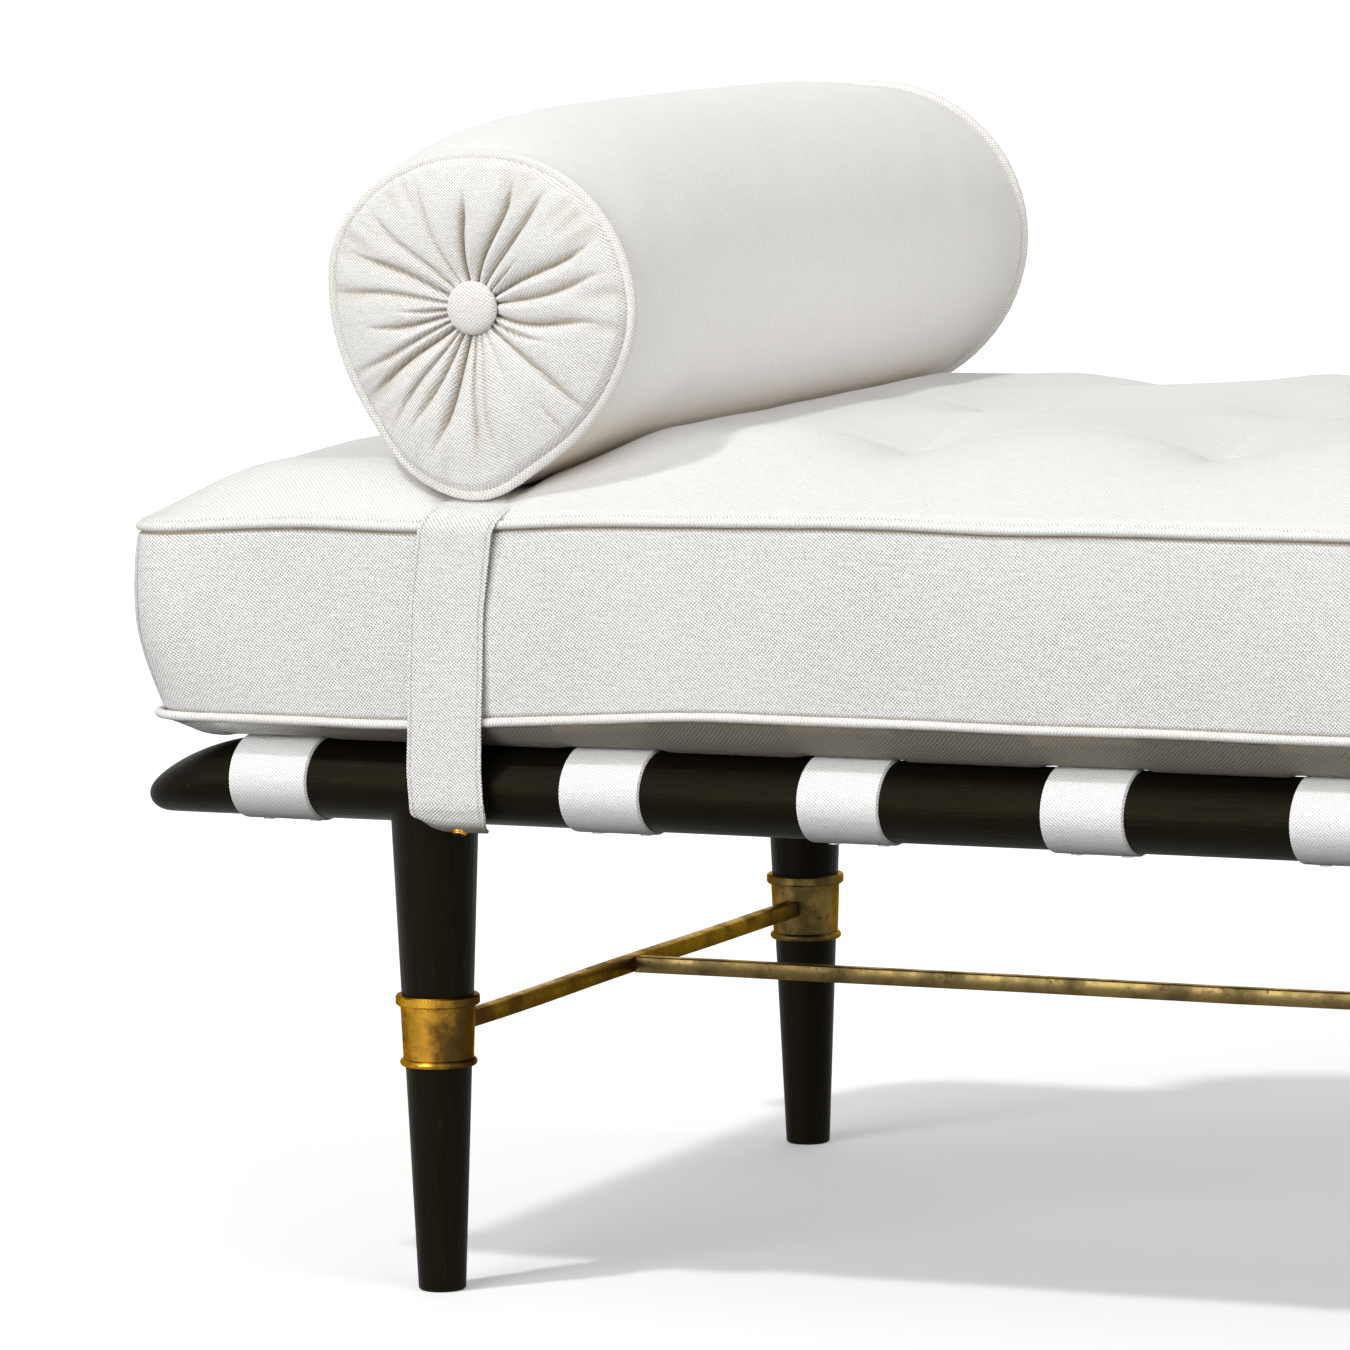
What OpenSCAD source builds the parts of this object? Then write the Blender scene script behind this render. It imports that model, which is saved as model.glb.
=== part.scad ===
// Backless divan: turned legs, two long rails wrapped with webbing, a tufted mattress and a bolster.
// X runs along the length, -Y is the front, Z is up, and the origin is on the floor at the centre.

/* [Overall] */
// Length of the two side rails, tip to tip
rail_length = 1905; // [1600:5:2200]
// Distance from a rail's tip to the nearest leg's centre
rail_overhang = 177; // [140:1:260]
// Distance between the front and the rear leg centres
leg_gauge = 540; // [480:1:700]
// Height of the rails' underside above the floor
rail_underside_z = 272; // [220:1:360]

/* [Rails] */
// Height of a rail's rounded section
rail_height = 46; // [40:1:60]
// Depth of a rail's rounded section
rail_depth = 62; // [58:1:80]
// Length over which the top of a rail curves down to its tip
nose_length = 66; // [40:1:90]
// Length over which the underside curves up to the tip
toe_length = 16; // [8:1:40]
// Height of the tip above the underside
tip_rise = 13; // [8:1:24]
// Length over which the rail narrows in plan at its tip
plan_nose_length = 38; // [20:1:60]
// Width of a cross rail
cross_rail_width = 28; // [20:1:40]
// Height of a cross rail
cross_rail_height = 34; // [28:1:38]
// Distance from the underside of the rails up to the cross rails
cross_rail_lift = 5; // [4:0.5:8]
// How far a cross rail's tenon enters the rail
tenon_depth = 14; // [8:1:18]
// Shoulder left round the tenon
tenon_shoulder = 5; // [3:0.5:7]

/* [Legs] */
// Radius of the foot on the floor
foot_radius = 13.7; // [10:0.1:18]
// Radius of the leg where it enters the rail
leg_top_radius = 25.5; // [20:0.5:28]
// How far the leg enters its socket in the rail
leg_socket_depth = 10; // [6:1:14]
// Bevel round the foot
foot_bevel = 1.2; // [0.5:0.1:2]
// Radius of the threaded bolt that joins leg and rail
bolt_radius = 4; // [3:0.5:5]
// How deep the bolt goes into the leg
bolt_in_leg = 40; // [25:1:60]
// Radius of the washer under the nut
washer_radius = 9; // [8:0.5:11]
// Thickness of that washer
washer_thickness = 1.6; // [1:0.1:2.5]
// Height of the nut
nut_height = 5; // [4:0.5:6]
// Depth of the counterbore that hides the nut
counterbore_depth = 10; // [9:0.5:13]

/* [Brass] */
// Height of a ferrule's lower edge above the floor
ferrule_bottom_z = 130.8; // [90:0.1:160]
// Height of a ferrule
ferrule_height = 41.5; // [30:0.5:60]
// Wall of a ferrule's body
ferrule_wall = 1; // [0.8:0.1:2]
// Height of a ferrule's upper band
band_height = 6; // [4:0.5:9]
// How far the upper band stands out from the body
band_proud = 2.4; // [1:0.1:4]
// Height of a ferrule's lower bead
bead_height = 4.6; // [3:0.2:7]
// How far the lower bead stands out from the body
bead_proud = 2.2; // [1:0.1:4]
// Side of the square stretcher bars
bar_side = 9.4; // [7:0.1:14]
// Height of the stretchers' centre line above the floor
bar_z = 152; // [147:0.5:160]
// Radius of the pins in the bars' ends
pin_radius = 2; // [1.5:0.1:3]
// Length of a pin
pin_length = 30; // [20:1:36]

/* [Webbing] */
// Width of a webbing strap
web_width = 50.8; // [40:0.2:60]
// Thickness of a webbing strap
web_thickness = 1.6; // [1:0.1:2.5]
// Distance from a leg's centre to the first strap inside it
web_inner_offset = 118; // [90:0.5:130]
// Distance from a leg's centre to the strap outside it
web_outer_offset = 91; // [80:0.1:105]
// Radius of a tack's head
tack_head_radius = 3.5; // [2.5:0.1:5]
// Thickness of a tack's head
tack_head_thickness = 0.8; // [0.6:0.1:1.5]
// Radius of a tack's shank
tack_shank_radius = 0.9; // [0.7:0.1:1.3]
// Length of a tack's shank inside webbing and rail
tack_length = 12; // [8:1:15]
// Distance of a tack from the middle of its strap
tack_offset = 15; // [10:1:18]

/* [Mattress] */
// Distance from a rail's tip to the mattress's end
mattress_inset = 2.5; // [0:0.5:20]
// How far the mattress reaches past the leg centres, front and rear
mattress_overhang = 33; // [33:1:60]
// Height of the boxing from seam to seam
boxing_height = 110; // [80:1:160]
// Rise of the top from its seam to the puffs' tops
top_crown = 41; // [38:1:60]
// Depth of the underside below its seam
bottom_crown = 20; // [10:1:25]
// Distance from the edge over which the top rises to its full height
crown_run = 112; // [80:1:150]
// Depth of the tufts below the puffs
tuft_depth = 12; // [6:1:20]
// Distance from the bolster's end of the mattress to the first column of tufts
tuft_first = 440; // [400:1:500]
// Distance from the last column of tufts to the other end
tuft_last = 172; // [120:1:220]
// Radius of the mattress's corners in plan
corner_radius = 30; // [20:1:50]
// Radius of the welt cords
welt_radius = 3; // [2:0.1:4]
// Thickness of the cloth and wadding of the boxing
boxing_thickness = 4; // [3:0.5:6]
// How far the boxing swells out between its seams
boxing_swell = 3; // [0:0.5:4]
// Radius of the twine that ties a tuft
twine_radius = 1; // [0.8:0.1:1.5]

/* [Bolster] */
// Distance from a rail's tip to the bolster's axis
bolster_inset = 217; // [200:1:240]
// Radius of the bolster at its middle
bolster_radius = 106.5; // [90:0.5:120]
// How far the bolster draws in towards its end seams
bolster_draw_in = 9.5; // [3:0.5:12]
// Length of the bolster between its end seams
bolster_length = 583; // [420:1:590]
// Height of the flat that the bolster's weight presses into its underside
bolster_flat = 3.6; // [3.5:0.1:6]
// Thickness of the bolster's cover
bolster_cover_thickness = 2.5; // [1.5:0.1:4]
// Number of gathers in an end panel
gather_count = 26; // [16:1:32]
// Thickness of an end panel at its fullest
gather_bulge = 13; // [9:0.5:16]
// Thickness of an end panel under its button
gather_centre = 5; // [3:0.5:7]
// Depth of the gathers
gather_depth = 3; // [1:0.5:4]
// Radius of a covered button
button_radius = 15.5; // [12:0.5:20]
// Height of a covered button
button_height = 6; // [4:0.5:9]
// Distance from the bolster's underside down to the crown's full height
bolster_sink = 33; // [30:1:40]

/* [Strap] */
// Width of the strap under the bolster
strap_width = 48; // [40:0.5:52]
// Thickness of that strap
strap_thickness = 1.8; // [1:0.1:2]
// Radius of a snap's cap
snap_radius = 5.5; // [4:0.5:7]
// Height of a snap's cap
snap_height = 2.6; // [1.5:0.1:4]

/* [Fits] */
// Gap between soft pieces that rest on each other
soft_gap = 0.3; // [0.2:0.05:0.5]
// Clearance round bolts, pins and tacks, and inside the ferrules
pin_clearance = 0.05; // [0.02:0.01:0.1]
// Clearance of a leg in its socket
socket_clearance = 0.15; // [0.05:0.05:0.3]
// Clearance round a washer in its counterbore
washer_clearance = 1; // [0.5:0.1:1.5]

/* [Hidden] */

// Colours
wood_colour = [0.10, 0.08, 0.06];
brass_colour = [0.62, 0.46, 0.20];
steel_colour = [0.60, 0.60, 0.62];
canvas_colour = [0.93, 0.92, 0.88];
foam_colour = [0.86, 0.82, 0.66];
twine_colour = [0.75, 0.68, 0.52];

// Smoothness of round pieces, and of the small ones
round_fn = 64;
small_fn = 24;
// Overrun of every cut
overrun = 1;

// Frame levels and places
leg_x = rail_length / 2 - rail_overhang;
leg_y = leg_gauge / 2;
rail_a = rail_depth / 2;
rail_b = rail_height / 2;
rail_mid_z = rail_underside_z + rail_b;
rail_top_z = rail_underside_z + rail_height;
leg_top_z = rail_underside_z + leg_socket_depth;
section_step = 7.5;
nose_steps = 8;
// Angles of a rail's section, in whole steps, at which a webbing strap ends past the bottom,
// and at which the bolster strap's end tab begins and ends below the rail's middle
web_end_angle = 270 + 4 * section_step;
tab_start_angle = 180 + 2 * section_step;
tab_end_angle = 180 + 8 * section_step;
snap_angle = 180 + 6 * section_step;
snap_post_length = 12;
snap_post_radius = 1.6;
ferrule_top_z = ferrule_bottom_z + ferrule_height;
cross_rail_z = rail_underside_z + cross_rail_lift;
// Share of the washer's radius that the nut's corners reach
nut_share = 0.83;
nut_radius = washer_radius * nut_share;
counterbore_radius = washer_radius + washer_clearance;

// Webbing straps
web_count = 12;
web_inner_count = web_count - 2;
web_pitch = (2 * leg_x - 2 * web_inner_offset) / (web_inner_count - 1);

// Mattress levels and places
mattress_half_x = rail_length / 2 - mattress_inset;
mattress_half_y = leg_y + mattress_overhang;
mattress_bottom_z = rail_top_z + web_thickness + soft_gap;
core_bottom_z = mattress_bottom_z + bottom_crown;
lower_seam_z = core_bottom_z + welt_radius;
upper_seam_z = lower_seam_z + boxing_height;
core_top_z = upper_seam_z + welt_radius;
// Share of a welt cord's radius by which its centre lies inside the mattress's outline
welt_inset_share = 0.33;
welt_inset = welt_radius * welt_inset_share;
core_inset = max(boxing_thickness, welt_inset + welt_radius) + soft_gap;
// Share of a welt cord's radius that the cloth stands up at the top's edge
edge_lip_share = 0.7;
edge_lip = welt_radius * edge_lip_share;
tuft_columns = 8;
tuft_rows = 3;
tuft_pitch_x = (2 * mattress_half_x - tuft_first - tuft_last) / (tuft_columns - 1);
tuft_pitch_y = 2 * mattress_half_y / tuft_rows;
cells_per_tuft = 4;

// Bolster levels and places
bolster_end_radius = bolster_radius - bolster_draw_in;
bolster_x = -rail_length / 2 + bolster_inset;
bolster_bottom_z = core_top_z + edge_lip + top_crown - bolster_sink;
bolster_axis_z = bolster_bottom_z + bolster_radius - bolster_flat;
strap_seat_z = bolster_bottom_z - strap_thickness - 2 * soft_gap;
valley_crown = strap_seat_z - core_top_z - edge_lip;
valley_margin = 4;
valley_flat = strap_width / 2 + valley_margin;
// Space that the mattress's top leaves under the bolster's round
imprint_gap = 1;
// Share of the crown's rise that is left on the short side of the bolster
end_crown_share = 0.65;
strap_side_y = mattress_half_y + welt_radius + soft_gap;
tab_z = rail_mid_z + rail_b * sin(tab_start_angle);

// Place of a webbing strap's middle along the length
function web_x(k) =
    k == 0 ? -leg_x - web_outer_offset :
    k == web_count - 1 ? leg_x + web_outer_offset :
    -leg_x + web_inner_offset + (k - 1) * web_pitch;

// Radius of a leg at a height
function leg_radius(z) = foot_radius + (leg_top_radius - foot_radius) * z / leg_top_z;

// A point of an ellipse, and the unit normal there
function ellipse(a, b, angle) = [a * cos(angle), b * sin(angle)];
function ellipse_normal(a, b, angle) =
    let (n = [cos(angle) / a, sin(angle) / b]) n / norm(n);

// Points of a rail's rounded section grown by a thickness, between two angles
function section_points(grow, from, to) =
    let (steps = ceil(abs(to - from) / section_step))
    [for (i = [0:steps])
        let (angle = from + (to - from) * i / steps)
        ellipse(rail_a, rail_b, angle) + grow * ellipse_normal(rail_a, rail_b, angle)];

function reversed(list) = [for (i = [len(list) - 1:-1:0]) list[i]];

// A path moved sideways by a thickness, for straps of even thickness
function path_normal(path, i) =
    let (before = path[max(i - 1, 0)])
    let (after = path[min(i + 1, len(path) - 1)])
    let (way = after - before)
    [-way[1], way[0]] / norm(way);
function moved_path(path, thickness) =
    [for (i = [0:len(path) - 1]) path[i] + thickness * path_normal(path, i)];

// Outline of a rounded rectangle, as points
corner_steps = 6;
function rounded_outline(half_x, half_y, radius) =
    [for (q = [0:3]) for (i = [0:corner_steps])
        let (angle = 90 * (q + i / corner_steps))
        let (side_x = (q == 0 || q == 3) ? half_x - radius : radius - half_x)
        let (side_y = (q == 0 || q == 1) ? half_y - radius : radius - half_y)
        [side_x + radius * cos(angle), side_y + radius * sin(angle)]];

// Rise from 0 to 1 over a run, with a level end
function eased(distance, run) = sin(90 * min(max(distance / run, 0), 1));

// Tufts: 1 at a tuft and 0 midway between tufts
function tuft_dip(x, y) =
    let (u = (x + mattress_half_x - tuft_first) / tuft_pitch_x)
    let (v = y / tuft_pitch_y)
    (u < -0.5 || u > tuft_columns - 0.5 || abs(v) > tuft_rows / 2) ? 0 :
        pow(cos(180 * u), 2) * pow(cos(180 * v), 2);

// Rise of the mattress's top that the bolster leaves at a place along the length: flat under
// the strap, then the print of the bolster's round
function bolster_print(x) =
    let (aside = min(abs(x - bolster_x), bolster_radius))
    let (round_z = bolster_axis_z - sqrt(pow(bolster_radius, 2) - pow(aside, 2)))
    aside < valley_flat + imprint_gap ? valley_crown :
        max(valley_crown, round_z - imprint_gap - core_top_z - edge_lip);

// Height of the mattress's top over its core
function top_height(x, y) =
    let (across = eased(mattress_half_y - abs(y), crown_run))
    let (along = eased(mattress_half_x - abs(x), crown_run))
    let (end_crown = valley_crown + (top_crown - valley_crown) * end_crown_share)
    let (full = x < bolster_x ? end_crown : top_crown - tuft_depth * tuft_dip(x, y))
    edge_lip + min(full, bolster_print(x)) * across * along;

// Height of the strap's seat on the mattress's top at a place across the depth
function seat_height(y) =
    core_top_z + edge_lip + valley_crown * eased(mattress_half_y - abs(y), crown_run) + soft_gap;

// A point of the plan kept inside the rounded corner
function in_corner(x, y) =
    let (centre_x = mattress_half_x - corner_radius)
    let (centre_y = mattress_half_y - corner_radius)
    let (dx = abs(x) - centre_x)
    let (dy = abs(y) - centre_y)
    let (reach = norm([dx, dy]))
    (dx <= 0 || dy <= 0 || reach <= corner_radius) ? [x, y] :
        [sign(x) * (centre_x + dx * corner_radius / reach),
         sign(y) * (centre_y + dy * corner_radius / reach)];

function evenly(from, to, count) = [for (i = [0:count - 1]) from + (to - from) * i / count];

// A closed solid between a gridded surface and a flat face: grid is rows of points, flat_z its level
module gridded_solid(grid, flat_z) {
    rows = len(grid);
    cols = len(grid[0]);
    rim = concat(
        [for (j = [0:cols - 1]) [0, j]],
        [for (i = [1:rows - 1]) [i, cols - 1]],
        [for (j = [cols - 2:-1:0]) [rows - 1, j]],
        [for (i = [rows - 2:-1:1]) [i, 0]]);
    surface_points = [for (row = grid) for (p = row) p];
    rim_points = [for (r = rim) let (p = grid[r[0]][r[1]]) [p[0], p[1], flat_z]];
    centre = rows * cols + len(rim);
    up = grid[0][0][2] > flat_z;
    faces = concat(
        [for (i = [0:rows - 2]) for (j = [0:cols - 2])
            each [[i * cols + j, (i + 1) * cols + j + 1, i * cols + j + 1],
                  [i * cols + j, (i + 1) * cols + j, (i + 1) * cols + j + 1]]],
        [for (k = [0:len(rim) - 1])
            let (n = (k + 1) % len(rim))
            let (a = rim[k][0] * cols + rim[k][1])
            let (b = rim[n][0] * cols + rim[n][1])
            each [[a, b, rows * cols + n], [a, rows * cols + n, rows * cols + k]]],
        [for (k = [0:len(rim) - 1])
            [rows * cols + k, rows * cols + (k + 1) % len(rim), centre]]);
    polyhedron(concat(surface_points, rim_points, [[0, 0, flat_z]]),
        up ? faces : [for (f = faces) [f[0], f[2], f[1]]]);
}

// A flat profile carried round a rounded rectangle; its x is the distance out from the corner centres
module carried_round(half_x, half_y, radius) {
    for (side = [-1, 1]) {
        translate([side * (half_x - radius), side * (radius - half_y), 0])
            rotate([90, 0, side > 0 ? 0 : 180])
            mirror([0, 0, 1])
            linear_extrude(height = 2 * (half_y - radius)) children();
        translate([side * (radius - half_x), side * (radius - half_y), 0])
            rotate([90, 0, side > 0 ? -90 : 90])
            mirror([0, 0, 1])
            linear_extrude(height = 2 * (half_x - radius)) children();
    }
    for (q = [0:3])
        translate([(q == 0 || q == 3 ? 1 : -1) * (half_x - radius),
                   (q == 0 || q == 1 ? 1 : -1) * (half_y - radius), 0])
            rotate([0, 0, 90 * q])
            rotate_extrude(angle = 90, $fn = round_fn) children();
}

// Section of a rail, grown by a thickness, laid along X
module rail_prism(length, grow) {
    rotate([90, 0, 90])
        linear_extrude(height = length, center = true)
        polygon(section_points(grow, 0, 360 - section_step));
}

// Side outline of a rail with its drooping tips
function nose_side() = concat(
    [for (i = [0:nose_steps])
        let (angle = 90 * i / nose_steps)
        [rail_length / 2 - nose_length + nose_length * cos(angle),
         tip_rise - rail_b + (rail_height - tip_rise) * sin(angle)]],
    [for (i = [nose_steps:-1:0])
        let (angle = 90 * i / nose_steps)
        [-rail_length / 2 + nose_length - nose_length * cos(angle),
         tip_rise - rail_b + (rail_height - tip_rise) * sin(angle)]],
    [for (i = [1:nose_steps])
        let (angle = 90 * i / nose_steps)
        [-rail_length / 2 + toe_length - toe_length * cos(angle), tip_rise * (1 - sin(angle)) - rail_b]],
    [for (i = [nose_steps:-1:1])
        let (angle = 90 * i / nose_steps)
        [rail_length / 2 - toe_length + toe_length * cos(angle), tip_rise * (1 - sin(angle)) - rail_b]]);

// Plan outline of a rail with its narrowing tips
function nose_plan() = concat(
    [for (i = [-nose_steps:nose_steps])
        let (angle = 90 * i / nose_steps)
        [rail_length / 2 - plan_nose_length * (1 - cos(angle)), rail_a * sin(angle)]],
    [for (i = [nose_steps:-1:-nose_steps])
        let (angle = 90 * i / nose_steps)
        [-rail_length / 2 + plan_nose_length * (1 - cos(angle)), rail_a * sin(angle)]]);

module cross_rail_tenon_space(x) {
    translate([x, 0, cross_rail_z + cross_rail_height / 2])
        cube([cross_rail_width - 2 * tenon_shoulder, leg_gauge - rail_depth + 2 * tenon_depth,
              cross_rail_height - 2 * tenon_shoulder], center = true);
}

// Space that a leg's top takes under and in the rails
module leg_socket(x, y) {
    translate([x, y, rail_underside_z - overrun])
        cylinder(r = leg_top_radius + socket_clearance, h = leg_socket_depth + overrun, $fn = round_fn);
}

module tack_shank(x, y, radius) {
    translate([x, y, rail_underside_z - web_thickness])
        cylinder(r = radius, h = tack_length, $fn = small_fn);
}

module rail(side) {
    color(wood_colour)
    difference() {
        translate([0, side * leg_y, rail_mid_z])
            intersection() {
                rail_prism(rail_length, 0);
                rotate([90, 0, 0])
                    linear_extrude(height = rail_depth + 2 * overrun, center = true) polygon(nose_side());
                linear_extrude(height = rail_height + 2 * overrun, center = true) polygon(nose_plan());
            }
        for (x = [-leg_x, leg_x]) {
            leg_socket(x, side * leg_y);
            translate([x, side * leg_y, rail_underside_z])
                cylinder(r = bolt_radius + pin_clearance, h = rail_height, $fn = small_fn);
            translate([x, side * leg_y, rail_top_z - counterbore_depth])
                cylinder(r = counterbore_radius, h = counterbore_depth + overrun, $fn = small_fn);
        }
        for (x = [-leg_x, 0, leg_x]) cross_rail_tenon_space(x);
        for (k = [0:web_count - 1]) for (s = [-1, 1])
            tack_shank(web_x(k) + s * tack_offset, side * leg_y, tack_shank_radius + pin_clearance);
        translate([0, side * leg_y, 0]) mirror([0, side > 0 ? 1 : 0, 0]) snap_post(pin_clearance);
    }
}

// Cross rail whose shoulders follow the side rails' rounded sections and clear the legs
module cross_rail(x) {
    color(wood_colour) {
        difference() {
            translate([x - cross_rail_width / 2, -leg_y, cross_rail_z])
                cube([cross_rail_width, leg_gauge, cross_rail_height]);
            for (side = [-1, 1])
                translate([x, side * leg_y, rail_mid_z]) rail_prism(cross_rail_width + 2 * overrun, 0);
            for (end_x = [-leg_x, leg_x]) for (y = [-leg_y, leg_y]) leg_socket(end_x, y);
        }
        cross_rail_tenon_space(x);
    }
}

module leg(x, y) {
    color(wood_colour)
    difference() {
        translate([x, y, 0])
            rotate_extrude($fn = round_fn)
            polygon([[0, 0], [foot_radius - foot_bevel, 0],
                     [leg_radius(foot_bevel), foot_bevel], [leg_top_radius, leg_top_z], [0, leg_top_z]]);
        translate([x, y, leg_top_z - bolt_in_leg])
            cylinder(r = bolt_radius + pin_clearance, h = bolt_in_leg + overrun, $fn = small_fn);
        translate([x, 0, 0]) bar_pin_pair(pin_clearance);
    }
}

// Threaded bolt from a leg up to its nut
module leg_bolts() {
    color(steel_colour)
    for (x = [-leg_x, leg_x]) for (y = [-leg_y, leg_y])
        translate([x, y, leg_top_z - bolt_in_leg])
            cylinder(r = bolt_radius, h = bolt_length, $fn = small_fn);
}
nut_seat_z = rail_top_z - counterbore_depth;
// How far a bolt stands out of its nut
bolt_stand_out = 1;
bolt_length = nut_seat_z + washer_thickness + nut_height + bolt_stand_out - leg_top_z + bolt_in_leg;

module leg_washers() {
    color(steel_colour)
    for (x = [-leg_x, leg_x]) for (y = [-leg_y, leg_y])
        translate([x, y, nut_seat_z])
            difference() {
                cylinder(r = washer_radius, h = washer_thickness, $fn = round_fn);
                translate([0, 0, -overrun])
                    cylinder(r = bolt_radius + pin_clearance, h = washer_thickness + 2 * overrun,
                             $fn = small_fn);
            }
}

module leg_nuts() {
    color(steel_colour)
    for (x = [-leg_x, leg_x]) for (y = [-leg_y, leg_y])
        translate([x, y, nut_seat_z + washer_thickness])
            difference() {
                cylinder(r = nut_radius, h = nut_height, $fn = 6);
                translate([0, 0, -overrun])
                    cylinder(r = bolt_radius + pin_clearance, h = nut_height + 2 * overrun, $fn = small_fn);
            }
}

// Outer radius of a ferrule's body at a height, and its upper band with eased edges
function ferrule_radius(z) = leg_radius(z) + ferrule_wall;
band_radius = ferrule_radius(ferrule_top_z) + band_proud;
// Share of the band's height that is eased at each edge
band_ease_share = 0.15;
band_ease = band_height * band_ease_share;

// Rounded outline of a ring that stands out from a ferrule between two heights
ring_steps = 8;
function ring_outline(z_low, height, proud) =
    [for (i = [0:ring_steps])
        let (angle = 180 * i / ring_steps - 90)
        [ferrule_radius(z_low) + proud * cos(angle), z_low + height / 2 + height / 2 * sin(angle)]];

module ferrule(x, y) {
    color(brass_colour)
    difference() {
        translate([x, y, 0])
            rotate_extrude($fn = round_fn)
            polygon(concat(
                [[leg_radius(ferrule_bottom_z) + pin_clearance, ferrule_bottom_z]],
                ring_outline(ferrule_bottom_z, bead_height, bead_proud),
                [[ferrule_radius(ferrule_bottom_z + bead_height), ferrule_bottom_z + bead_height],
                 [ferrule_radius(ferrule_top_z - band_height), ferrule_top_z - band_height],
                 [band_radius - band_ease, ferrule_top_z - band_height],
                 [band_radius, ferrule_top_z - band_height + band_ease],
                 [band_radius, ferrule_top_z - band_ease],
                 [band_radius - band_ease, ferrule_top_z],
                 [leg_radius(ferrule_top_z) + pin_clearance, ferrule_top_z]]));
        translate([x, 0, 0]) bar_pin_pair(pin_clearance);
    }
}

// Space that a ferrule's body takes from a bar that meets it
module ferrule_space(x, y) {
    translate([x, y, 0])
        rotate_extrude($fn = round_fn)
        polygon([[0, ferrule_bottom_z], [ferrule_radius(ferrule_bottom_z), ferrule_bottom_z],
                 [ferrule_radius(ferrule_top_z), ferrule_top_z], [0, ferrule_top_z]]);
}

// The two pins that join a cross stretcher to its legs
pin_start = leg_radius(bar_z) - pin_length / 2;
module bar_pin_pair(grow) {
    for (side = [-1, 1])
        translate([0, side * (leg_y - pin_start), bar_z])
            rotate([side * 90, 0, 0])
            cylinder(r = pin_radius + grow, h = pin_length, $fn = small_fn);
}

// The two pins that join the long stretcher to the cross stretchers
module long_pin_pair(grow) {
    for (side = [-1, 1])
        translate([side * (leg_x + bar_side / 4), 0, bar_z])
            rotate([0, -side * 90, 0])
            cylinder(r = pin_radius + grow, h = pin_length, $fn = small_fn);
}

module cross_stretcher(x) {
    color(brass_colour)
    difference() {
        translate([x, 0, bar_z]) cube([bar_side, leg_gauge, bar_side], center = true);
        for (side = [-1, 1]) ferrule_space(x, side * leg_y);
        translate([x, 0, 0]) bar_pin_pair(pin_clearance);
        long_pin_pair(pin_clearance);
    }
}

module long_stretcher() {
    color(brass_colour)
    difference() {
        translate([0, 0, bar_z]) cube([2 * leg_x - bar_side, bar_side, bar_side], center = true);
        long_pin_pair(pin_clearance);
    }
}

module stretcher_pins() {
    color(brass_colour) {
        for (x = [-leg_x, leg_x]) translate([x, 0, 0]) bar_pin_pair(0);
        long_pin_pair(0);
    }
}

// A strap of webbing that runs over both rails and is tacked beneath them
module webbing(k) {
    hook = section_points(0, web_end_angle, 90);
    outer_hook = section_points(web_thickness, web_end_angle, 90);
    front = [for (p = hook) p + [-leg_y, rail_mid_z]];
    front_outer = [for (p = outer_hook) p + [-leg_y, rail_mid_z]];
    color(canvas_colour)
    difference() {
        translate([web_x(k), 0, 0])
            rotate([90, 0, 90])
            linear_extrude(height = web_width, center = true)
            polygon(concat(front, reversed([for (p = front) [-p[0], p[1]]]),
                           [for (p = front_outer) [-p[0], p[1]]], reversed(front_outer)));
        for (side = [-1, 1]) for (s = [-1, 1])
            tack_shank(web_x(k) + s * tack_offset, side * leg_y, tack_shank_radius + pin_clearance);
    }
}

// Two tacks in each end of each strap
module webbing_tacks() {
    color(steel_colour)
    for (k = [0:web_count - 1]) for (side = [-1, 1]) for (s = [-1, 1]) {
        tack_shank(web_x(k) + s * tack_offset, side * leg_y, tack_shank_radius);
        translate([web_x(k) + s * tack_offset, side * leg_y,
                   rail_underside_z - web_thickness - tack_head_thickness])
            cylinder(r = tack_head_radius, h = tack_head_thickness, $fn = small_fn);
    }
}

module tuft_twine(radius, from_z, height) {
    for (i = [0:tuft_columns - 1]) for (j = [0:tuft_rows - 1])
        translate([-mattress_half_x + tuft_first + i * tuft_pitch_x,
                   (j - (tuft_rows - 1) / 2) * tuft_pitch_y, from_z])
            cylinder(r = radius, h = height, $fn = small_fn);
}

module mattress_core() {
    color(foam_colour)
    difference() {
        translate([0, 0, core_bottom_z])
            linear_extrude(height = core_top_z - core_bottom_z)
            polygon(rounded_outline(mattress_half_x - core_inset, mattress_half_y - core_inset,
                                    corner_radius - core_inset));
        tuft_twine(twine_radius + pin_clearance, core_bottom_z - overrun,
                   core_top_z - core_bottom_z + 2 * overrun);
    }
}

module tuft_ties() {
    color(twine_colour) tuft_twine(twine_radius, core_bottom_z, core_top_z - core_bottom_z);
}

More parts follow.
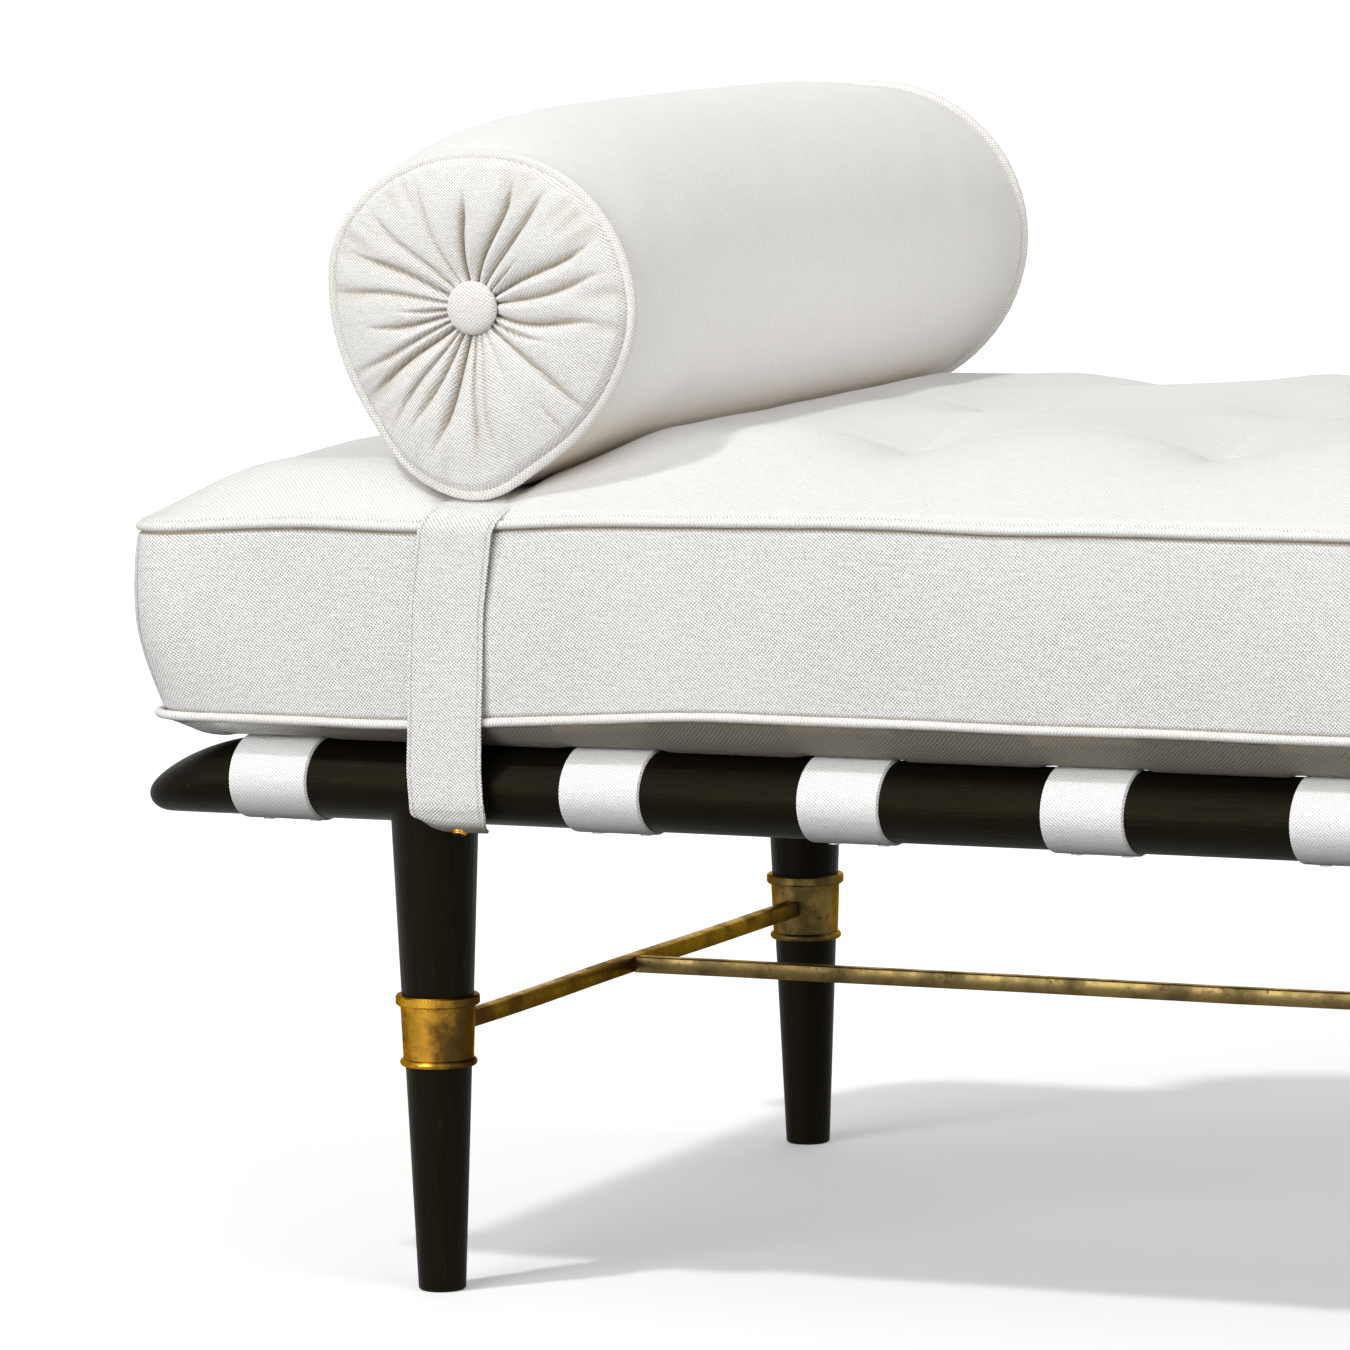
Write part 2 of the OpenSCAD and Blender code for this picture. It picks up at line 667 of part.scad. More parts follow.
// Crowned and tufted top, wadding and cloth together
module mattress_top() {
    first_x = -mattress_half_x + tuft_first;
    last_x = mattress_half_x - tuft_last;
    round_left = bolster_x - bolster_radius;
    valley_left = bolster_x - valley_flat;
    valley_right = bolster_x + valley_flat;
    round_right = bolster_x + bolster_radius;
    xs = concat(
        [-mattress_half_x],
        evenly(-mattress_half_x + corner_radius, round_left, 3),
        evenly(round_left, valley_left, 6),
        evenly(valley_left, valley_right, 2),
        evenly(valley_right, round_right, 6),
        evenly(round_right, first_x, 4),
        evenly(first_x, last_x, (tuft_columns - 1) * cells_per_tuft),
        evenly(last_x, mattress_half_x - corner_radius, 4),
        [mattress_half_x - corner_radius, mattress_half_x]);
    row_y = (tuft_rows - 1) / 2 * tuft_pitch_y;
    ys = concat(
        [-mattress_half_y],
        evenly(-mattress_half_y + corner_radius, -row_y, 2),
        evenly(-row_y, row_y, (tuft_rows - 1) * cells_per_tuft),
        evenly(row_y, mattress_half_y - corner_radius, 2),
        [mattress_half_y - corner_radius, mattress_half_y]);
    color(canvas_colour)
    gridded_solid([for (x = xs) [for (y = ys)
        concat(in_corner(x, y), [core_top_z + top_height(x, y)])]], core_top_z);
}

// Underside of the mattress, that swells down to the webbing
underside_run = 45;
module mattress_underside() {
    corner_x = mattress_half_x - corner_radius;
    corner_y = mattress_half_y - corner_radius;
    xs = concat([-mattress_half_x], evenly(-corner_x, corner_x, 16), [corner_x, mattress_half_x]);
    ys = concat([-mattress_half_y], evenly(-corner_y, corner_y, 10), [corner_y, mattress_half_y]);
    color(canvas_colour)
    gridded_solid([for (x = xs) [for (y = ys)
        let (across = eased(mattress_half_y - abs(y), underside_run))
        let (along = eased(mattress_half_x - abs(x), underside_run))
        concat(in_corner(x, y), [core_bottom_z - edge_lip - (bottom_crown - edge_lip) * across * along])]],
        core_bottom_z);
}

// Boxing: drawn in at its seams and swelling a little between them
module mattress_boxing() {
    boxing_low = lower_seam_z + welt_radius;
    boxing_tall = boxing_height - 2 * welt_radius;
    out = corner_radius - boxing_swell;
    color(canvas_colour)
    carried_round(mattress_half_x, mattress_half_y, corner_radius)
        polygon(concat(
            [for (i = [0:ring_steps])
                [out + boxing_swell * sin(180 * i / ring_steps), boxing_low + boxing_tall * i / ring_steps]],
            [[corner_radius - core_inset, boxing_low + boxing_tall],
             [corner_radius - core_inset, boxing_low]]));
}

module mattress_welt(z) {
    color(canvas_colour)
    carried_round(mattress_half_x, mattress_half_y, corner_radius)
        translate([corner_radius - welt_inset, z]) circle(r = welt_radius, $fn = small_fn);
}

// Radius of the bolster at a distance from its middle, and its half outline
bolster_steps = 10;
function bolster_profile(half, inset) =
    [for (i = [-bolster_steps:bolster_steps])
        let (share = i / bolster_steps)
        [bolster_end_radius - inset + (bolster_radius - bolster_end_radius) * (1 - pow(abs(share), 3)),
         half * share]];

// The bolster's solid inside a cover, turned along Y, with the flat pressed into its underside
module bolster_solid(inset) {
    half = bolster_length / 2;
    translate([bolster_x, 0, bolster_axis_z])
        difference() {
            rotate([-90, 0, 0])
                rotate_extrude($fn = round_fn)
                polygon(concat([[0, -half]], bolster_profile(half, inset), [[0, half]]));
            translate([-bolster_radius, -half - overrun, bolster_flat + inset - 3 * bolster_radius])
                cube([2 * bolster_radius, bolster_length + 2 * overrun, 2 * bolster_radius]);
        }
}

module bolster_tie_rod(radius, half) {
    translate([bolster_x, half, bolster_axis_z])
        rotate([90, 0, 0])
        cylinder(r = radius, h = 2 * half, $fn = small_fn);
}

module bolster_core() {
    color(foam_colour)
    difference() {
        bolster_solid(bolster_cover_thickness);
        bolster_tie_rod(twine_radius + pin_clearance, bolster_length / 2 + overrun);
    }
}

module bolster_cover() {
    color(canvas_colour)
    difference() {
        bolster_solid(0);
        bolster_solid(bolster_cover_thickness);
    }
}

// Gathered end panel: folds run from the welt to the button
panel_radius = bolster_end_radius - welt_inset - welt_radius - soft_gap;
panel_hole = twine_radius * 2;
panel_rings = 6;
fold_steps = 4;
function panel_bulge(share, angle) =
    gather_centre + (gather_bulge - gather_centre) * sin(145 * share)
    - gather_depth * (1 - cos(gather_count * angle)) / 2 * sin(150 * share);
module bolster_end(side) {
    spokes = gather_count * fold_steps;
    shares = [for (i = [0:panel_rings]) i / panel_rings];
    front = [for (s = shares) for (k = [0:spokes - 1])
        let (angle = 360 * k / spokes)
        let (r = panel_hole + (panel_radius - panel_hole) * s)
        [r * cos(angle), r * sin(angle), panel_bulge(s, angle)]];
    back_inner = [for (k = [0:spokes - 1])
        let (angle = 360 * k / spokes) [panel_hole * cos(angle), panel_hole * sin(angle), 0]];
    back_outer = [for (k = [0:spokes - 1])
        let (angle = 360 * k / spokes) [panel_radius * cos(angle), panel_radius * sin(angle), 0]];
    base = (panel_rings + 1) * spokes;
    // Rings of points in order round the closed section: front from hole to rim, rim back, hole back
    order = concat([for (i = [0:panel_rings]) i * spokes], [base + spokes, base]);
    faces = [for (i = [0:len(order) - 1]) for (k = [0:spokes - 1])
        let (a = order[i])
        let (b = order[(i + 1) % len(order)])
        let (n = (k + 1) % spokes)
        each [[a + k, a + n, b + n], [a + k, b + n, b + k]]];
    color(canvas_colour)
    translate([bolster_x, side * bolster_length / 2, bolster_axis_z])
        rotate([-side * 90, 0, 0])
        polyhedron(concat(front, back_inner, back_outer), faces);
}

module bolster_welt(side) {
    color(canvas_colour)
    translate([bolster_x, side * (bolster_length / 2 + welt_radius), bolster_axis_z])
        rotate([90, 0, 0])
        rotate_extrude($fn = round_fn)
        translate([bolster_end_radius - welt_inset, 0]) circle(r = welt_radius, $fn = small_fn);
}

// Domed button that sits on the gathers
button_steps = 6;
// Shares of the button's radius at its back, and of its height at its edge
button_back_share = 0.8;
button_edge_share = 0.25;
function button_profile() = concat(
    [[0, 0], [button_radius * button_back_share, 0]],
    [for (i = [0:button_steps])
        let (angle = 90 * i / button_steps)
        let (rise_share = button_edge_share + (1 - button_edge_share) * sin(angle))
        [button_radius * cos(angle), button_height * rise_share]]);
button_seat = panel_bulge(button_radius / panel_radius, 0) + soft_gap;
module bolster_button(side) {
    color(canvas_colour)
    translate([bolster_x, side * (bolster_length / 2 + button_seat), bolster_axis_z])
        rotate([-side * 90, 0, 0])
        rotate_extrude($fn = round_fn) polygon(button_profile());
}

module bolster_tie() {
    color(twine_colour) bolster_tie_rod(twine_radius, bolster_length / 2 + button_seat);
}

// Path of the strap's inner side: up the front, over the mattress under the bolster, down the rear
strap_steps = 24;
strap_corner_y = mattress_half_y - welt_radius;
function strap_path() = concat(
    [[-strap_side_y, tab_z + soft_gap], [-strap_side_y, upper_seam_z],
     [-strap_side_y, core_top_z + edge_lip + soft_gap]],
    [for (i = [0:strap_steps])
        let (y = -strap_corner_y + 2 * strap_corner_y * i / strap_steps)
        [y, seat_height(y) + (i == 0 || i == strap_steps ? soft_gap : 0)]],
    [[strap_side_y, core_top_z + edge_lip + soft_gap], [strap_side_y, upper_seam_z],
     [strap_side_y, tab_z + soft_gap]]);

module bolster_strap() {
    inner = strap_path();
    outer = moved_path(inner, strap_thickness);
    color(canvas_colour)
    translate([bolster_x, 0, 0])
        rotate([90, 0, 90])
        linear_extrude(height = strap_width, center = true)
        polygon(concat(inner, reversed(outer)));
}

// End of the strap, snapped under the rail: follows the strap's line, then the rail's curve,
// and is notched round the leg
module strap_tab(side) {
    curve = section_points(0, tab_start_angle, tab_end_angle);
    curve_outer = section_points(strap_thickness, tab_start_angle, tab_end_angle);
    shift = [-leg_y, rail_mid_z];
    inner = concat([[-strap_side_y, tab_z]], [for (p = curve) p + shift]);
    outer = concat([[-strap_side_y - strap_thickness, tab_z]], [for (p = curve_outer) p + shift]);
    color(canvas_colour)
    difference() {
        translate([bolster_x, 0, 0])
            mirror([0, side > 0 ? 1 : 0, 0])
            rotate([90, 0, 90])
            linear_extrude(height = strap_width, center = true)
            polygon(concat(inner, reversed(outer)));
        translate([0, side * leg_y, 0]) mirror([0, side > 0 ? 1 : 0, 0]) snap_post(pin_clearance);
        leg_socket(-leg_x, side * leg_y);
    }
}

// A snap's frame on the front rail, whose axis is at zero: its Z points into the rail
module snap_frame() {
    p = ellipse(rail_a, rail_b, snap_angle);
    n = ellipse_normal(rail_a, rail_b, snap_angle);
    translate([bolster_x, p[0], rail_mid_z + p[1]])
        rotate([atan2(n[0], -n[1]), 0, 0])
        children();
}

// Post of a snap, through the tab into the rail
module snap_post(grow) {
    snap_frame()
        translate([0, 0, -strap_thickness])
        cylinder(r = snap_post_radius + grow, h = snap_post_length, $fn = small_fn);
}

// Snap with a domed cap outside the tab
module strap_snap(side) {
    color(brass_colour)
    translate([0, side * leg_y, 0])
        mirror([0, side > 0 ? 1 : 0, 0]) {
            snap_post(0);
            snap_frame()
                translate([0, 0, -strap_thickness - snap_height])
                rotate_extrude($fn = round_fn)
                polygon(concat([[0, snap_height]], [for (i = [0:button_steps])
                    let (angle = 90 * i / button_steps)
                    [snap_radius * cos(angle), snap_height * (1 - sin(angle))]]));
        }
}

rail(-1);  // rail_front
rail(1);  // rail_rear
cross_rail(-leg_x);  // cross_rail_left
cross_rail(0);  // cross_rail_centre
cross_rail(leg_x);  // cross_rail_right
leg(-leg_x, -leg_y);  // leg_front_left
leg(leg_x, -leg_y);  // leg_front_right
leg(-leg_x, leg_y);  // leg_rear_left
leg(leg_x, leg_y);  // leg_rear_right
leg_bolts();
leg_washers();
leg_nuts();
ferrule(-leg_x, -leg_y);  // ferrule_front_left
ferrule(leg_x, -leg_y);  // ferrule_front_right
ferrule(-leg_x, leg_y);  // ferrule_rear_left
ferrule(leg_x, leg_y);  // ferrule_rear_right
cross_stretcher(-leg_x);  // cross_stretcher_left
cross_stretcher(leg_x);  // cross_stretcher_right
long_stretcher();
stretcher_pins();
webbing(0);  // webbing_01
webbing(1);  // webbing_02
webbing(2);  // webbing_03
webbing(3);  // webbing_04
webbing(4);  // webbing_05
webbing(5);  // webbing_06
webbing(6);  // webbing_07
webbing(7);  // webbing_08
webbing(8);  // webbing_09
webbing(9);  // webbing_10
webbing(10);  // webbing_11
webbing(11);  // webbing_12
webbing_tacks();
mattress_core();
mattress_top();
mattress_boxing();
mattress_underside();
mattress_welt(upper_seam_z);  // mattress_welt_upper
mattress_welt(lower_seam_z);  // mattress_welt_lower
tuft_ties();
bolster_core();
bolster_cover();
bolster_end(-1);  // bolster_end_front
bolster_end(1);  // bolster_end_rear
bolster_welt(-1);  // bolster_welt_front
bolster_welt(1);  // bolster_welt_rear
bolster_button(-1);  // bolster_button_front
bolster_button(1);  // bolster_button_rear
bolster_tie();
bolster_strap();
strap_tab(-1);  // strap_tab_front
strap_tab(1);  // strap_tab_rear
strap_snap(-1);  // strap_snap_front
strap_snap(1);  // strap_snap_rear
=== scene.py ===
import math
import bpy
import numpy as np
from mathutils import Matrix, Vector


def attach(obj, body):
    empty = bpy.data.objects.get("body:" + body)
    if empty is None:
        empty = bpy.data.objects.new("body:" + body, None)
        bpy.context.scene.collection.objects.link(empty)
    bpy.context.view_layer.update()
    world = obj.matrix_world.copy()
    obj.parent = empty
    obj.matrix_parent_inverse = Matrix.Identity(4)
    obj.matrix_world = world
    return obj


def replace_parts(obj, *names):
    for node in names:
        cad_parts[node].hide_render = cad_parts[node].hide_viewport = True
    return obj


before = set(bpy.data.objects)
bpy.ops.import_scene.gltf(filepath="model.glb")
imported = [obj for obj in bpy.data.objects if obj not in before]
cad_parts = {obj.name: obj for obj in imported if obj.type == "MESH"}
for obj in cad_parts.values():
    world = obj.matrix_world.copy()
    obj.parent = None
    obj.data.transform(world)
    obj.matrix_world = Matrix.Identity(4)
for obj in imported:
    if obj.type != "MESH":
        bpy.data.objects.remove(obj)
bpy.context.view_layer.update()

# All lengths are in metres. X runs along the divan, -Y is its front, Z is up.
TAU = 2 * math.pi

# Sizes that the pieces share with the solids
RAIL_HALF_LENGTH, RAIL_Y, RAIL_BOTTOM, RAIL_HEIGHT, RAIL_HALF_DEPTH = 0.9525, 0.27, 0.272, 0.046, 0.031
RAIL_MID = RAIL_BOTTOM + RAIL_HEIGHT / 2
LEG_X, LEG_FOOT, LEG_TOP, LEG_HEIGHT = 0.7755, 0.0137, 0.0255, 0.282
BAR_Z, BAR_SIDE, BAR_CLEARANCE = 0.152, 0.0094, 0.0001
WEB_WIDTH, WEB_THICK = WEB_SIZE = 0.0508, 0.0016
WEB_INSIDE, WEB_OUTSIDE = 0.118, 0.091
HALF_X, HALF_Y, CORNER = 0.95, 0.303, 0.03
LOW_SEAM, HIGH_SEAM, REST = 0.3429, 0.4529, 0.3199
TUFT_FIRST_X, TUFT_PITCH_X, TUFT_PITCH_Y, TUFT_COLUMNS = -0.51, 0.184, 0.202, 8
# Width and thickness of the bolster's strap, its Y down both sides, and the height where its ends meet it
STRAP_SIZE, STRAP_FACE, STRAP_END = (0.048, 0.0018), 0.3085, 0.2876
BOLSTER_X = -0.7355
WELT, MATTRESS_WELT = 0.003, 0.00264

# How far the cushion's cloth reaches over its upper cord and under its lower one
RIM_OVER, RIM_UNDER = 0.0045, 0.003
# Glow that keeps the seen ground as white as the photo's
FLOOR_GLOW = 0.205


# Camera, as fitted to the photo

PHOTO_PIXELS, FOCAL_PIXELS = 1350, 8561.87
CAMERA_PLACE = (1.3334, -4.6673, 0.9051)
CAMERA_YAW, CAMERA_PITCH, CAMERA_ROLL = 23.99, 6.44, -0.75


def aim_camera():
    yaw, pitch, roll = (math.radians(a) for a in (CAMERA_YAW, CAMERA_PITCH, CAMERA_ROLL))
    ahead = Vector((-math.sin(yaw) * math.cos(pitch), math.cos(yaw) * math.cos(pitch), -math.sin(pitch)))
    level = Vector((math.cos(yaw), math.sin(yaw), 0))
    upward = level.cross(ahead)
    right = math.cos(roll) * level + math.sin(roll) * upward
    top = -math.sin(roll) * level + math.cos(roll) * upward
    data = bpy.data.cameras.new("camera")
    data.sensor_width, data.lens = 36, FOCAL_PIXELS / PHOTO_PIXELS * 36
    data.clip_start, data.clip_end = 0.1, 200
    camera = bpy.data.objects.new("camera", data)
    bpy.context.scene.collection.objects.link(camera)
    turn = Matrix((right, top, -ahead)).transposed().to_4x4()
    camera.matrix_world = Matrix.Translation(CAMERA_PLACE) @ turn
    bpy.context.scene.camera = camera


aim_camera()


# Nodes

def tree_of(values):
    return next(value.id_data for value in values if isinstance(value, bpy.types.NodeSocket))


def give(socket, value):
    """Links a socket to another node's output, or writes a number or a colour in it."""
    if isinstance(value, bpy.types.NodeSocket):
        socket.id_data.links.new(value, socket)
    elif isinstance(value, tuple):
        socket.default_value = (*value, 1)
    else:
        socket.default_value = value


def fill(node, values):
    for name, value in values.items():
        give(node.inputs[name], value)


def reckon(kind, a, b=0.0, clamp=False):
    node = tree_of((a, b)).nodes.new("ShaderNodeMath")
    node.operation, node.use_clamp = kind, clamp
    give(node.inputs[0], a)
    give(node.inputs[1], b)
    return node.outputs[0]


def plus(a, b):
    return reckon("ADD", a, b)


def minus(a, b, clamp=False):
    return reckon("SUBTRACT", a, b, clamp)


def times(a, b):
    return reckon("MULTIPLY", a, b)


def over(a, b):
    return reckon("DIVIDE", a, b)


def mix_colour(share, a, b):
    node = tree_of((share, a, b)).nodes.new("ShaderNodeMix")
    node.data_type = "RGBA"
    for place, value in ((0, share), (6, a), (7, b)):
        give(node.inputs[place], value)
    return node.outputs[2]


def ranged(value, low, high, to_low=0.0, to_high=1.0):
    node = value.id_data.nodes.new("ShaderNodeMapRange")
    for place, given in enumerate((value, low, high, to_low, to_high)):
        give(node.inputs[place], given)
    return node.outputs[0]


def noise(vector, scale, detail=2.0, rough=0.5):
    node = vector.id_data.nodes.new("ShaderNodeTexNoise")
    fill(node, {"Vector": vector, "Scale": scale, "Detail": detail, "Roughness": rough})
    return node.outputs[0]


def mapped(vector, scale=(1, 1, 1), place=(0, 0, 0), turn=(0, 0, 0)):
    node = vector.id_data.nodes.new("ShaderNodeMapping")
    give(node.inputs[0], vector)
    node.inputs["Location"].default_value = place
    node.inputs["Rotation"].default_value = turn
    node.inputs["Scale"].default_value = scale
    return node.outputs[0]


def parts_of(vector):
    """The X, Y and Z of a vector."""
    node = vector.id_data.nodes.new("ShaderNodeSeparateXYZ")
    give(node.inputs[0], vector)
    return node.outputs


def start_group(name, numbers, results):
    """A node group that takes a vector and named numbers, each with its usual value."""
    tree = bpy.data.node_groups.new(name, "ShaderNodeTree")
    add = tree.interface.new_socket
    add(name="Vector", in_out="INPUT", socket_type="NodeSocketVector")
    for number, value in numbers.items():
        add(name=number, in_out="INPUT", socket_type="NodeSocketFloat").default_value = value
    for result in results:
        add(name=result, in_out="OUTPUT", socket_type="NodeSocketFloat")
    return tree, tree.nodes.new("NodeGroupInput").outputs, tree.nodes.new("NodeGroupOutput").inputs


def make_twill_group():
    """Twill threads: slanting ribs, crossed by the gaps between the threads, with uneven yarn."""
    numbers = {"Pitch": 0.002, "Slant": 1.0, "Unevenness": 0.35}
    tree, given, put = start_group("twill_threads", numbers, ("Height", "Tone"))
    place = given["Vector"]
    split = parts_of(place)
    turns = over(TAU, given["Pitch"])
    drift = times(noise(mapped(place, (35, 160, 1)), 1.0), 0.0012)
    v = times(split[1], turns)
    slanted = times(times(plus(split[0], drift), turns), given["Slant"])
    rib = reckon("SINE", plus(slanted, v))
    gap = reckon("SINE", minus(times(slanted, 1.25), times(v, 0.8)))
    yarn = times(minus(noise(mapped(place, (60, 900, 1)), 1.0, 1.0), 0.5), given["Unevenness"])
    height = plus(plus(plus(times(rib, 0.27), times(gap, 0.22)), 0.5), yarn)
    blot = noise(mapped(place, (420, 420, 1)), 1.0, 1.0)
    give(put["Height"], height)
    give(put["Tone"], ranged(plus(times(height, 0.7), times(blot, 0.3)), 0.26, 0.58))
    return tree


def make_stitch_group():
    """Two rows of stitches, each a given distance from the middle of a strap that runs along the map's Y."""
    numbers = {"Distance": 0.02, "Stitch": 0.003, "Width": 0.0007}
    tree, given, put = start_group("stitch_rows", numbers, ("Mask", "Height"))
    split = parts_of(given["Vector"])
    aside = reckon("ABSOLUTE", minus(reckon("ABSOLUTE", split[0]), given["Distance"]))
    row = minus(1.0, over(aside, given["Width"]), clamp=True)
    beat = reckon("SINE", times(split[1], over(TAU, given["Stitch"])))
    mask = times(row, reckon("GREATER_THAN", beat, 0.1))
    give(put["Mask"], mask)
    give(put["Height"], minus(times(mask, 0.5), row))
    return tree


def make_grain_group():
    """Stained timber: long pores, cloudy stain and rubbed spots along the map's X."""
    tree, given, put = start_group("timber_grain", {}, ("Tone", "Pores", "Rubbed"))
    place = given["Vector"]
    give(put["Tone"], ranged(noise(mapped(place, (3, 26, 26)), 1.0, 3.0, 0.55), 0.3, 0.7))
    give(put["Pores"], ranged(noise(mapped(place, (14, 700, 700)), 1.0, 3.0, 0.6), 0.35, 0.6))
    give(put["Rubbed"], ranged(noise(mapped(place, (60, 260, 260), (3, 1, 2)), 1.0, 4.0, 0.7), 0.62, 0.72))
    return tree


def make_tarnish_group():
    """Brass that has aged: cloudy tarnish, small spots, and fine drawn lines."""
    tree, given, put = start_group("brass_tarnish", {"Amount": 0.5}, ("Cloud", "Spots", "Lines"))
    place = given["Vector"]
    cloud = plus(noise(place, 38.0, 5.0, 0.62), minus(given["Amount"], 0.5))
    spots = ranged(noise(place, 420.0, 3.0, 0.7), 0.53, 0.66)
    near = ranged(noise(place, 90.0, 2.0, 0.6), 0.45, 0.6)
    give(put["Cloud"], ranged(cloud, 0.42, 0.66))
    give(put["Spots"], times(spots, near))
    give(put["Lines"], noise(mapped(place, (1, 1, 14)), 160.0, 2.0))
    return tree


TWILL, STITCH = make_twill_group(), make_stitch_group()
GRAIN, TARNISH = make_grain_group(), make_tarnish_group()


def place_group(tree, group, **values):
    node = tree.nodes.new("ShaderNodeGroup")
    node.node_tree = group
    fill(node, values)
    return node.outputs


def start_material(name):
    made = bpy.data.materials.new(name)
    made.use_nodes = True
    return made, made.node_tree, made.node_tree.nodes["Principled BSDF"]


def bump(height, distance, strength, under=None):
    node = height.id_data.nodes.new("ShaderNodeBump")
    fill(node, {"Strength": strength, "Distance": distance, "Height": height})
    if under is not None:
        give(node.inputs["Normal"], under)
    return node.outputs[0]


def own_map(tree):
    node = tree.nodes.new("ShaderNodeUVMap")
    node.uv_map = "UVMap"
    return node.outputs[0]


def object_place(tree):
    return tree.nodes.new("ShaderNodeTexCoord").outputs["Object"]


def seen_share(tree):
    """1 for what the camera sees, straight or mirrored, and 0 for the light that falls on the pieces."""
    path = tree.nodes.new("ShaderNodeLightPath").outputs
    share = reckon("MAXIMUM", path["Is Camera Ray"], path["Is Glossy Ray"])
    return reckon("MAXIMUM", share, path["Is Transmission Ray"])


def cloth_material(name, light, shade, pitch=0.0019, slant=0.75, relief=0.0004, tone=0.95,
                   crumple=0.0008, painted_shade_colour=None, stitch=None):
    """Woven cotton. The weave follows the piece's own map, and painted shade, a darker and warmer tone, is
    laid where the piece's shade attribute says its creases, crevices and undersides lie in shade.
    """
    made, tree, shader = start_material(name)
    place = object_place(tree)
    weave = place_group(tree, TWILL, Vector=own_map(tree), Pitch=pitch, Slant=slant)
    colour = mix_colour(ranged(weave["Tone"], 0, 1, 1 - tone, 1), shade, light)
    stain = ranged(noise(place, 7.0, 3.0), 0.35, 0.75, 0.0, 0.25)
    colour = mix_colour(stain, colour, tuple(0.96 * c for c in light))
    # Painted shade: the piece's shade attribute lays the given dark, warm tone on its creases, crevices and
    # undersides.
    if painted_shade_colour is not None:
        depth = tree.nodes.new("ShaderNodeAttribute")
        depth.attribute_name = "painted_shade"
        colour = mix_colour(depth.outputs["Fac"], colour, painted_shade_colour)
    normal = bump(noise(place, 26.0, 4.0, 0.55), crumple, 0.6)
    normal = bump(weave["Height"], relief, 0.9, normal)
    if stitch is not None:
        distance, length, width, thread = stitch
        rows = place_group(tree, STITCH, Vector=own_map(tree), Distance=distance, Stitch=length, Width=width)
        colour = mix_colour(times(rows["Mask"], 0.55), colour, thread)
        normal = bump(rows["Height"], 0.0006, 0.8, normal)
    rough = ranged(weave["Tone"], 0, 1, 0.95, 0.8)
    fill(shader, {"Base Color": colour, "Roughness": rough, "Normal": normal, "Specular IOR Level": 0.25,
                  "Sheen Weight": 0.12, "Sheen Roughness": 0.5})
    return made


def timber_material(name, along):
    """Ebonised wood with a satin finish. along gives the turn that lays the grain along the piece."""
    made, tree, shader = start_material(name)
    grain = place_group(tree, GRAIN, Vector=mapped(object_place(tree), turn=along))
    colour = mix_colour(grain["Tone"], (0.0036, 0.003, 0.0013), (0.007, 0.0058, 0.0025))
    colour = mix_colour(ranged(grain["Pores"], 0, 1, 0.35, 1.0), (0.0022, 0.0018, 0.001), colour)
    colour = mix_colour(times(grain["Rubbed"], 0.35), colour, (0.05, 0.026, 0.018))
    normal = bump(grain["Tone"], 0.0006, 0.35, bump(grain["Pores"], 0.0002, 0.5))
    rough = ranged(grain["Tone"], 0, 1, 0.52, 0.36)
    fill(shader, {"Base Color": colour, "Roughness": rough, "Normal": normal, "Specular IOR Level": 0.055,
                  "Specular Tint": (1.0, 0.86, 0.55)})
    return made


def brass_material(name, bright, dull, amount, spots=0.8, dark_side=0.0):
    """Aged brass. dark_side is how strong the dark reflection is on the side that faces the other leg."""
    made, tree, shader = start_material(name)
    place = object_place(tree)
    aged = place_group(tree, TARNISH, Vector=place, Amount=amount)
    colour = mix_colour(aged["Cloud"], bright, dull)
    colour = mix_colour(times(aged["Spots"], spots), colour, (0.045, 0.022, 0.01))
    if dark_side:
        inward = minus(LEG_X, reckon("ABSOLUTE", parts_of(place)[0]))
        patchy = times(minus(aged["Cloud"], 0.5), 0.012)
        share = ranged(plus(inward, patchy), 0.002, 0.017, 0.0, dark_side)
        colour = mix_colour(share, colour, (0.03, 0.02, 0.008))
    rough = plus(ranged(aged["Cloud"], 0, 1, 0.26, 0.46), times(aged["Spots"], 0.25))
    normal = bump(aged["Spots"], 0.0001, 0.4, bump(aged["Lines"], 0.00005, 0.5))
    fill(shader, {"Base Color": colour, "Roughness": rough, "Normal": normal,
                  "Metallic": 1.0, "Specular Tint": (0.62, 0.46, 0.24)})
    return made


def plain_material(name, colour, other, scale, rough, metallic=0.0, relief=0.0002):
    """Finish of the hidden pieces: two near tones in small clouds, and a fine relief."""
    made, tree, shader = start_material(name)
    cloud = noise(object_place(tree), scale, 4.0, 0.6)
    fill(shader, {"Base Color": mix_colour(ranged(cloud, 0.35, 0.65), colour, other),
                  "Roughness": ranged(cloud, 0.3, 0.7, rough, rough + 0.15),
                  "Metallic": metallic, "Normal": bump(cloud, relief, 0.6)})
    return made


# The third tone is the painted shade of creases, seam grooves and the crevice beside the bolster.
CREAM, CREAM_SHADE, PAINTED_SHADE_TONE = (0.95, 0.944, 0.93), (0.3, 0.292, 0.275), (0.36, 0.29, 0.195)
COVER = cloth_material("cotton_cover", CREAM, CREAM_SHADE, painted_shade_colour=PAINTED_SHADE_TONE)
# The top's cloth is a dimmer copy of the cover with a fainter weave; its dimming is painted shade that
# offsets the stronger light on the top.
DIMMED_TOP_COVER = cloth_material("cotton_cover_top_dimmed", (0.825, 0.821, 0.812), (0.6, 0.592, 0.576),
                           relief=0.00025, painted_shade_colour=PAINTED_SHADE_TONE)
# The underside's cloth takes a dark painted shade over the rails.
PAINTED_SHADE_UNDERSIDE = cloth_material("cotton_underside_painted_shade", CREAM, CREAM_SHADE, painted_shade_colour=(0.165, 0.14, 0.1))
